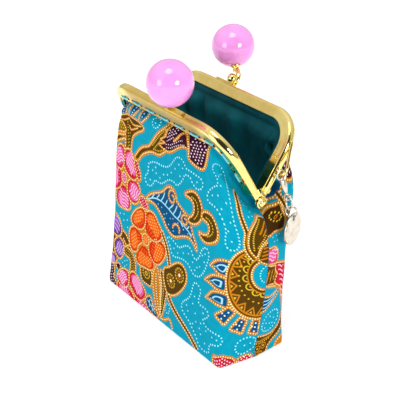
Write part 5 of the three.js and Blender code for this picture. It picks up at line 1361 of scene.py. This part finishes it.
def build_frame(side):
    name = "front_frame" if side < 0 else "back_frame"
    P, L = frame_path(0.0)
    ref = section(2.0)
    peri = np.concatenate([[0], np.cumsum(np.linalg.norm(np.diff(ref, axis=0), axis=1))])
    V, UV, pol = [], [], []
    for (x, s, ox, os_), l in zip(P, L):
        t = float(half_thick(s))
        sec = section(t, float(drop(side, l)))
        q = fpt(side, x - ox * sec[:, 0], s - os_ * sec[:, 0], sec[:, 1])
        V.append(q)
        UV.append(np.stack([np.full(len(sec), l), peri], -1))
        # satin along the bar, most of all on its outer wall, and polished round the corners and arms; lower values also
        # darken the base colour as painted reflection shade, the front bar more than the back
        satin_and_shade = (0.35 if side < 0 else 0.6) * (1 - smooth(t - 1.6, t - 0.5, sec[:, 1]) * smooth(0.2, 1.0, sec[:, 0]))
        pol.append(satin_and_shade + (1 - satin_and_shade) * float(smooth(24, 34, abs(l))))
    n, m_ = len(P), len(ref)
    faces = grid_faces(n, m_)
    faces += [tuple(range(m_))[::-1], tuple((n - 1) * m_ + i for i in range(m_))]
    if side < 0:
        faces = [f[::-1] for f in faces]
    sh = Shell().add(np.concatenate(V), faces, np.concatenate(UV), np.concatenate(pol))
    # needle holes in the outer wall
    at, _ = lip_path(side)
    cut, hole_shade = Shell(), Shell()
    oval = np.array([(math.cos(q), math.sin(q)) for q in np.arange(18) / 18 * 2 * math.pi])
    for a, b in stitch_spans():
        for p in (a - 0.5, b + 0.5):
            (x, s), (x2, s2) = at(p - 0.1), at(p + 0.1)
            t = float(half_thick(s))
            e = unit([x2 - x, s2 - s])
            x, s = at(p)
            put = lambda i, j, h: fpt(side, x + e[0] * i - e[1] * j, s + e[1] * i + e[0] * j, t + h)
            plate(cut, oval * [1.1, 0.92], put, -CH_WALL - 0.4, 0.8, 0.02)
            # near-black discs in each needle hole: painted shade for the hole's depth
            plate(hole_shade, oval * [1.25, 1.05], put, -CH_WALL + 0.05, -0.12, 0.03)
    body = sh.build(name + "_channel", MAT["gold"], "gold", angle=32, hole_cutter=cut)
    hole_shade.build(name + "_painted_hole_shade", MAT["hole_shade"], "batik_cotton", angle=40)
    # tabs, strip, bead, neck and collar
    fit = Shell()
    turn = -side
    W = HALF_W
    for sign in (-1, 1):
        x0, x1 = (W - 0.6, W) if side < 0 else (W - 1.5, W - 0.9)
        o = [(-1.8, ARM_END + 1.8)] + [(-1.8, 0.9)]
        o += [(2.3 * math.cos(q), 2.3 * math.sin(q)) for q in np.linspace(math.pi - 0.31, 2 * math.pi + 0.31, 22)]
        o += [(1.8, 0.9), (1.8, ARM_END + 1.8)]
        plate(fit, o, lambda a, b, h: fpt(side, sign * h, b, a), x0, x1, 0.1)
        if side > 0:
            o = [(-1.8, ARM_END + 0.1), (-1.8, ARM_END + 2.2), (1.8, ARM_END + 2.2), (1.8, ARM_END + 0.1)]
            plate(fit, o, lambda a, b, h: fpt(side, sign * h, b, a), W - 1.5, W - 0.1, 0.15)
    pt = lambda x, s, k: fpt(side, turn * x, s, k)
    strip = [(-1.3, 0), (-1.3, 0), (1.3, 0)]
    sec = np.array([(1.3 * math.copysign(min(1, abs(math.cos(q)) * 1.35), math.cos(q)), 0.78 * math.copysign(min(1, abs(math.sin(q)) * 1.35), math.sin(q))) for q in np.linspace(0, 2 * math.pi, 25)[:-1]])
    rings = []
    k0 = 0.0 if side > 0 else -1.3
    for x, k in ((5.0, 0.75), (5.25, 0.96), (5.7, 1), (11, 1), (16.9, 1), (17.35, 0.96), (17.6, 0.75)):
        rings.append(pt(x + k0, TOP + 0.12 + sec[:, 1] * k, sec[:, 0] * k))
    nn = len(sec)
    fit.add(np.concatenate(rings), [f if turn * side > 0 else f[::-1] for f in grid_faces(len(rings), nn) + [tuple(range(nn))[::-1], tuple((len(rings) - 1) * nn + i for i in range(nn))]], polish_and_shade=0.4)
    centre = pt(*BALL_AT)
    neck_top = pt(10.2, 48.4, 0.0)
    ax = unit(centre - neck_top)
    k = 0.0 if side > 0 else -2.8
    bead = pt(8.2 + k, 42.6 - 0.3 * k, -0.2)
    prof = [(2.4 * math.sin(q), -2.4 * math.cos(q)) for q in np.linspace(0, math.pi, 25)]
    prof[0], prof[-1] = (0, -2.4), (0, 2.4)
    lathe(fit, prof, bead, pt(8.2 + k, 43.6 - 0.3 * k, -0.2) - bead, 36)
    neck = spline([pt(9.4 + k, TOP + 0.1, 0.1), pt(6.9 + k, TOP + 0.3, 0.1), pt(5.2 + k, 41.2, 0.1), pt(4.8 + k, 43.0, 0.0), pt(5.7 + 0.8 * k, 45.2, 0.0), pt(7.6 + 0.4 * k, 46.6, 0.0), neck_top, centre - ax * 9.0], 8)
    rr = np.interp(np.linspace(0, 1, len(neck)), [0, 0.15, 0.5, 0.8, 1], [0.75, 1.0, 1.15, 1.1, 1.1])
    tube(fit, neck, rr, 16, flat=0.85)
    lathe(fit, arc_profile([(0, 0.0), (1.35, 0.0), (1.55, 0.35), (1.5, 0.75), (2.35, 1.35), (2.45, 1.62), (2.25, 1.72), (0, 1.72)]), centre - ax * (BALL_R + 1.72), ax, 40)
    lathe(fit, arc_profile([(0, -0.5), (1.5, -0.5), (1.7, -0.2), (1.7, 0.2), (1.5, 0.45), (0, 0.45)]), centre - ax * (BALL_R + 2.1), ax, 32)
    if side > 0:
        ear = spline([fpt(side, x, s, 0) for x, s in ((44.0, 28.4), (44.9, 26.4), (46.0, 23.6), (47.4, 20.4), (48.6, 17.6), (48.6, 15.4), (47.0, 14.2), (45.0, 13.5), (43.8, 13.1))], 8)
        tube(fit, ear, 0.75, 14)
    fit.build(name + "_fittings", MAT["gold"], "gold", angle=40)
    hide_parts(name)
    return centre, ax


def build_ball(name, centre, ax):
    sh = Shell()
    R = BALL_R
    r0 = 1.5
    h0 = -math.sqrt(R * R - (r0 + 0.25) ** 2)
    prof = [(0, h0 + 5.0), (r0, h0 + 5.0), (r0, h0 + 0.25)]
    a0 = math.asin((r0 + 0.25) / R)
    prof += [(R * math.sin(q), -R * math.cos(q)) for q in np.linspace(a0, math.pi, 64)[:-1]] + [(0, R)]
    lathe(sh, prof, centre, ax, 96)
    sh.build(name + "_gloss", MAT["pink"], "pink_ball", angle=50, replaces=(name,))


for side, ball in ((-1, "front_ball"), (1, "back_ball")):
    c, a = build_frame(side)
    build_ball(ball, c, a)


# ---------------------------------------------------------------- sewing thread
def build_thread(side):
    at, _ = lip_path(side)
    sh = Shell()
    for k, (a, b) in enumerate(stitch_spans()):
        pts = []
        for f, lift in ((0, -0.9), (0.015, -0.4), (0.07, 0.16), (0.15, 0.34), (0.5, 0.40), (0.85, 0.34), (0.93, 0.16), (0.985, -0.4), (1, -0.9)):
            x, s = at(a + (b - a) * f)
            slack = 0.12 * math.sin(math.pi * f) * (1 if k % 2 else -0.6)
            out = unit([x - np.sign(x) * min(abs(x), ARC_X), max(s - ARC_S, 0)]) if (abs(x) > ARC_X or s > ARC_S) else np.array([1.0, 0])
            pts.append(fpt(side, x + out[0] * slack, s + out[1] * slack, float(half_thick(s)) + lift))
        tube(sh, spline(pts, 4), 0.46, 10)
    return sh.build(("front" if side < 0 else "back") + "_stitches", MAT["thread"], "batik_cotton", angle=60)


build_thread(-1)
build_thread(1)

# ---------------------------------------------------------------- rivets
for sign, nm in ((1, "hinge_rivet_right"), (-1, "hinge_rivet_left")):
    sh = Shell()
    prof = [(0, -0.9), (1.5, -0.9), (1.8, -0.55), (1.75, -0.3), (0.95, -0.3), (0.95, 1.8), (2.55, 1.8), (2.75, 1.95), (2.7, 2.2), (2.3, 2.32), (2.12, 2.22), (2.02, 2.45), (1.85, 2.85), (1.5, 3.2), (1.0, 3.42), (0.5, 3.5), (0, 3.52)]
    lathe(sh, arc_profile(prof, 4), np.array([sign * (HALF_W - 1.5), HINGE_Y, HINGE_Z]), np.array([sign, 0, 0.0]), 44)
    sh.build(nm + "_turned", MAT["gold"], "gold", angle=34, replaces=(nm,))

# ---------------------------------------------------------------- charm
EAR_LOW = fpt(1, 47.2, 14.3, 0.0)
DOWNWARD = unit([0.25, 0.17, -0.953])
SIDE_C = np.array([-0.454, 0.891, 0.0])
SIDE_C = unit(SIDE_C - DOWNWARD * (SIDE_C @ DOWNWARD))
OUT_C = np.cross(DOWNWARD, SIDE_C)
along = lambda d: EAR_LOW + DOWNWARD * d
RING_R, RING_W, EYE_R, EYE_W, LINK_R, LINK_W = 1.85, 0.62, 1.3, 0.5, 2.7, 0.45
ring_at = -(0.75 + RING_W + 0.3) + RING_R
body_at = ring_at + RING_R + 3.2
eye_at = body_at + 3.9 + EYE_R
link2_at = eye_at + EYE_R - (EYE_W + LINK_W + 0.3) + LINK_R
link1_at = link2_at + LINK_R - (2 * LINK_W + 0.3) + LINK_R
ear_dir = unit(fpt(1, 1, 0.35, 0) - fpt(1, 0, 0, 0))
ear_dir = unit(ear_dir - DOWNWARD * (ear_dir @ DOWNWARD))


def hoop(shell, R, r, centre, axis, start=0.0, stop=2 * math.pi, sides=12, n=48):
    w = unit(axis)
    a = unit(DOWNWARD - w * (DOWNWARD @ w)) if abs(DOWNWARD @ w) < 0.95 else unit(np.cross(w, [0, 0, 1.0]))
    b = np.cross(w, a)
    full = stop - start > 2 * math.pi - 1e-6
    q = np.linspace(start, stop, n + 1)
    q = q[:-1] if full else q
    r_ = np.full(len(q), r) if np.isscalar(r) else np.interp(np.linspace(0, 1, len(q)), np.linspace(0, 1, len(r)), r)
    tube(shell, centre + R * (np.cos(q)[:, None] * a + np.sin(q)[:, None] * b), r_, sides, closed=full)


sh = Shell()
ring_axis = unit(ear_dir + 0.8 * (BACK - DOWNWARD * (BACK @ DOWNWARD)))
hoop(sh, RING_R + 0.15, [0.58, 0.56, 0.54, 0.48, 0.42], along(ring_at + 0.15), ring_axis, 0.35, 2 * math.pi - 0.55)
hoop(sh, RING_R + 0.03, 0.4, along(ring_at + 0.15), ring_axis, -0.6, 0.5, n=16)
bodyp, prof = [], []
for k in np.linspace(-1, 1, 21):
    w = math.sqrt(max(0, 1 - k * k))
    prof.append((k * 4.0, 1.15 * w * (1.0 - 0.18 * k), 1.6 * w * (1.0 - 0.28 * k)))
ang = np.linspace(0, 2 * math.pi, 25)[:-1]
V = np.concatenate([along(body_at) + DOWNWARD * h + np.cos(ang)[:, None] * OUT_C * max(a_, 0.02) + np.sin(ang)[:, None] * SIDE_C * max(b_, 0.02) for h, a_, b_ in prof])
sh.add(V, grid_faces(21, 24) + [tuple(range(24))[::-1], tuple(20 * 24 + i for i in range(24))])
lever = spline([along(body_at - 1.2) + SIDE_C * 1.5, along(body_at - 0.4) + SIDE_C * 2.15, along(body_at + 0.6) + SIDE_C * 1.9, along(body_at + 1.6) + SIDE_C * 1.1], 6)
tube(sh, lever, [0.45] * len(lever), 10)
hoop(sh, EYE_R, EYE_W, along(eye_at), SIDE_C)
sh.build("charm_clasp_cast", MAT["pale"], "pale_metal", angle=50, replaces=("charm_clasp",))
for nm, d, axis in (("charm_link_upper", link2_at, OUT_C), ("charm_link_lower", link1_at, SIDE_C)):
    sh = Shell()
    hoop(sh, LINK_R, LINK_W, along(d), axis, 0.9, 0.9 + 2 * math.pi - 0.10, n=56)
    sh.build(nm + "_wire", MAT["pale"], "pale_metal", angle=50, replaces=(nm,))

DISC_R, DISC_T = 7.2, 1.1
disc_turn = math.radians(113)
DN = np.array([math.sin(disc_turn), -math.cos(disc_turn), 0.0])
DX = np.cross([0, 0, 1.0], DN)
hole_at = along(link1_at + LINK_R)


def build_disc():
    """A flat disc with a soft rim, a drilled hole and a hammered face."""
    hr, hy = 1.2, DISC_R - 1.9
    n1, n2 = 72, 24
    q1, q2 = np.arange(n1) / n1 * 2 * math.pi, np.arange(n2) / n2 * 2 * math.pi
    rim = [(np.cos(q1) * r, np.sin(q1) * r) for r in (DISC_R - 0.28,)]
    hole = (np.cos(q2) * (hr + 0.12), hy + np.sin(q2) * (hr + 0.12))
    pts = [(x, y) for x, y in zip(*rim[0])] + [(x, y) for x, y in zip(*hole)]
    edges = [(i, (i + 1) % n1) for i in range(n1)] + [(n1 + i, n1 + (i + 1) % n2) for i in range(n2)]
    g = np.linspace(-DISC_R, DISC_R, 46)
    for x in g:
        for y in g:
            if math.hypot(x, y) < DISC_R - 0.45 and math.hypot(x, y - hy) > hr + 0.3:
                pts.append((x, y))
    P, F, ov = triangulate(pts, edges)
    F = np.array(F)
    cen = P[F].mean(1)
    F = F[np.hypot(cen[:, 0], cen[:, 1] - hy) > hr + 0.05]
    cr = np.cross(P[F[:, 1]] - P[F[:, 0]], P[F[:, 2]] - P[F[:, 0]])
    F = F[np.abs(cr) > 1e-9]
    cr = np.cross(P[F[:, 1]] - P[F[:, 0]], P[F[:, 2]] - P[F[:, 0]])
    F[cr < 0] = F[cr < 0][:, ::-1]
    where = {}
    for j, src in enumerate(ov):
        for i in src:
            where[i] = j
    g2 = np.random.default_rng(3)
    dents = [(g2.uniform(-6, 6), g2.uniform(-6, 6), g2.uniform(1.0, 1.9), g2.uniform(0.05, 0.11)) for _ in range(34)]
    dent = np.zeros(len(P))
    for x, y, r, d in dents:
        dent += d * np.exp(-((P[:, 0] - x) ** 2 + (P[:, 1] - y) ** 2) / (r * r))
    dent = np.minimum(dent, 0.22) * smooth(DISC_R - 0.3, DISC_R - 1.0, np.hypot(P[:, 0], P[:, 1])) * smooth(hr + 0.1, hr + 0.8, np.hypot(P[:, 0], P[:, 1] - hy))
    put = lambda x, y, z: hole_at + np.multiply.outer(x, DX) + np.multiply.outer(y - hy, np.array([0, 0, 1.0])) + np.multiply.outer(z, DN)
    sh = Shell()
    n = len(P)
    top, bot = put(P[:, 0], P[:, 1], DISC_T / 2 - dent), put(P[:, 0], P[:, 1], -DISC_T / 2 + dent * 0.5)
    rings = []
    for r, z in ((DISC_R - 0.08, DISC_T / 2 - 0.08), (DISC_R, DISC_T / 2 - 0.3), (DISC_R, -DISC_T / 2 + 0.3), (DISC_R - 0.08, -DISC_T / 2 + 0.08)):
        rings.append(put(np.cos(q1) * r, np.sin(q1) * r, np.full(n1, z)))
    hr_ = []
    for r, z in ((hr, DISC_T / 2 - 0.12), (hr, -DISC_T / 2 + 0.12)):
        hr_.append(put(np.cos(q2) * r, hy + np.sin(q2) * r, np.full(n2, z)))
    V = np.concatenate([top, bot] + rings + hr_)
    f = [tuple(map(int, t)) for t in F] + [tuple(int(i) + n for i in t[::-1]) for t in F]
    o = 2 * n
    seq = [[where[i] for i in range(n1)]] + [[o + k * n1 + i for i in range(n1)] for k in range(4)] + [[n + where[i] for i in range(n1)]]
    for a_, b_ in zip(seq[:-1], seq[1:]):
        f += [(a_[i], b_[i], b_[(i + 1) % n1], a_[(i + 1) % n1]) for i in range(n1)]
    o += 4 * n1
    seq = [[where[n1 + i] for i in range(n2)]] + [[o + k * n2 + i for i in range(n2)] for k in range(2)] + [[n + where[n1 + i] for i in range(n2)]]
    for a_, b_ in zip(seq[:-1], seq[1:]):
        f += [(a_[i], a_[(i + 1) % n2], b_[(i + 1) % n2], b_[i]) for i in range(n2)]
    sh.add(V, f)
    sh.build("charm_disc_hammered", MAT["pale"], "pale_metal", angle=40, replaces=("charm_disc",))


build_disc()
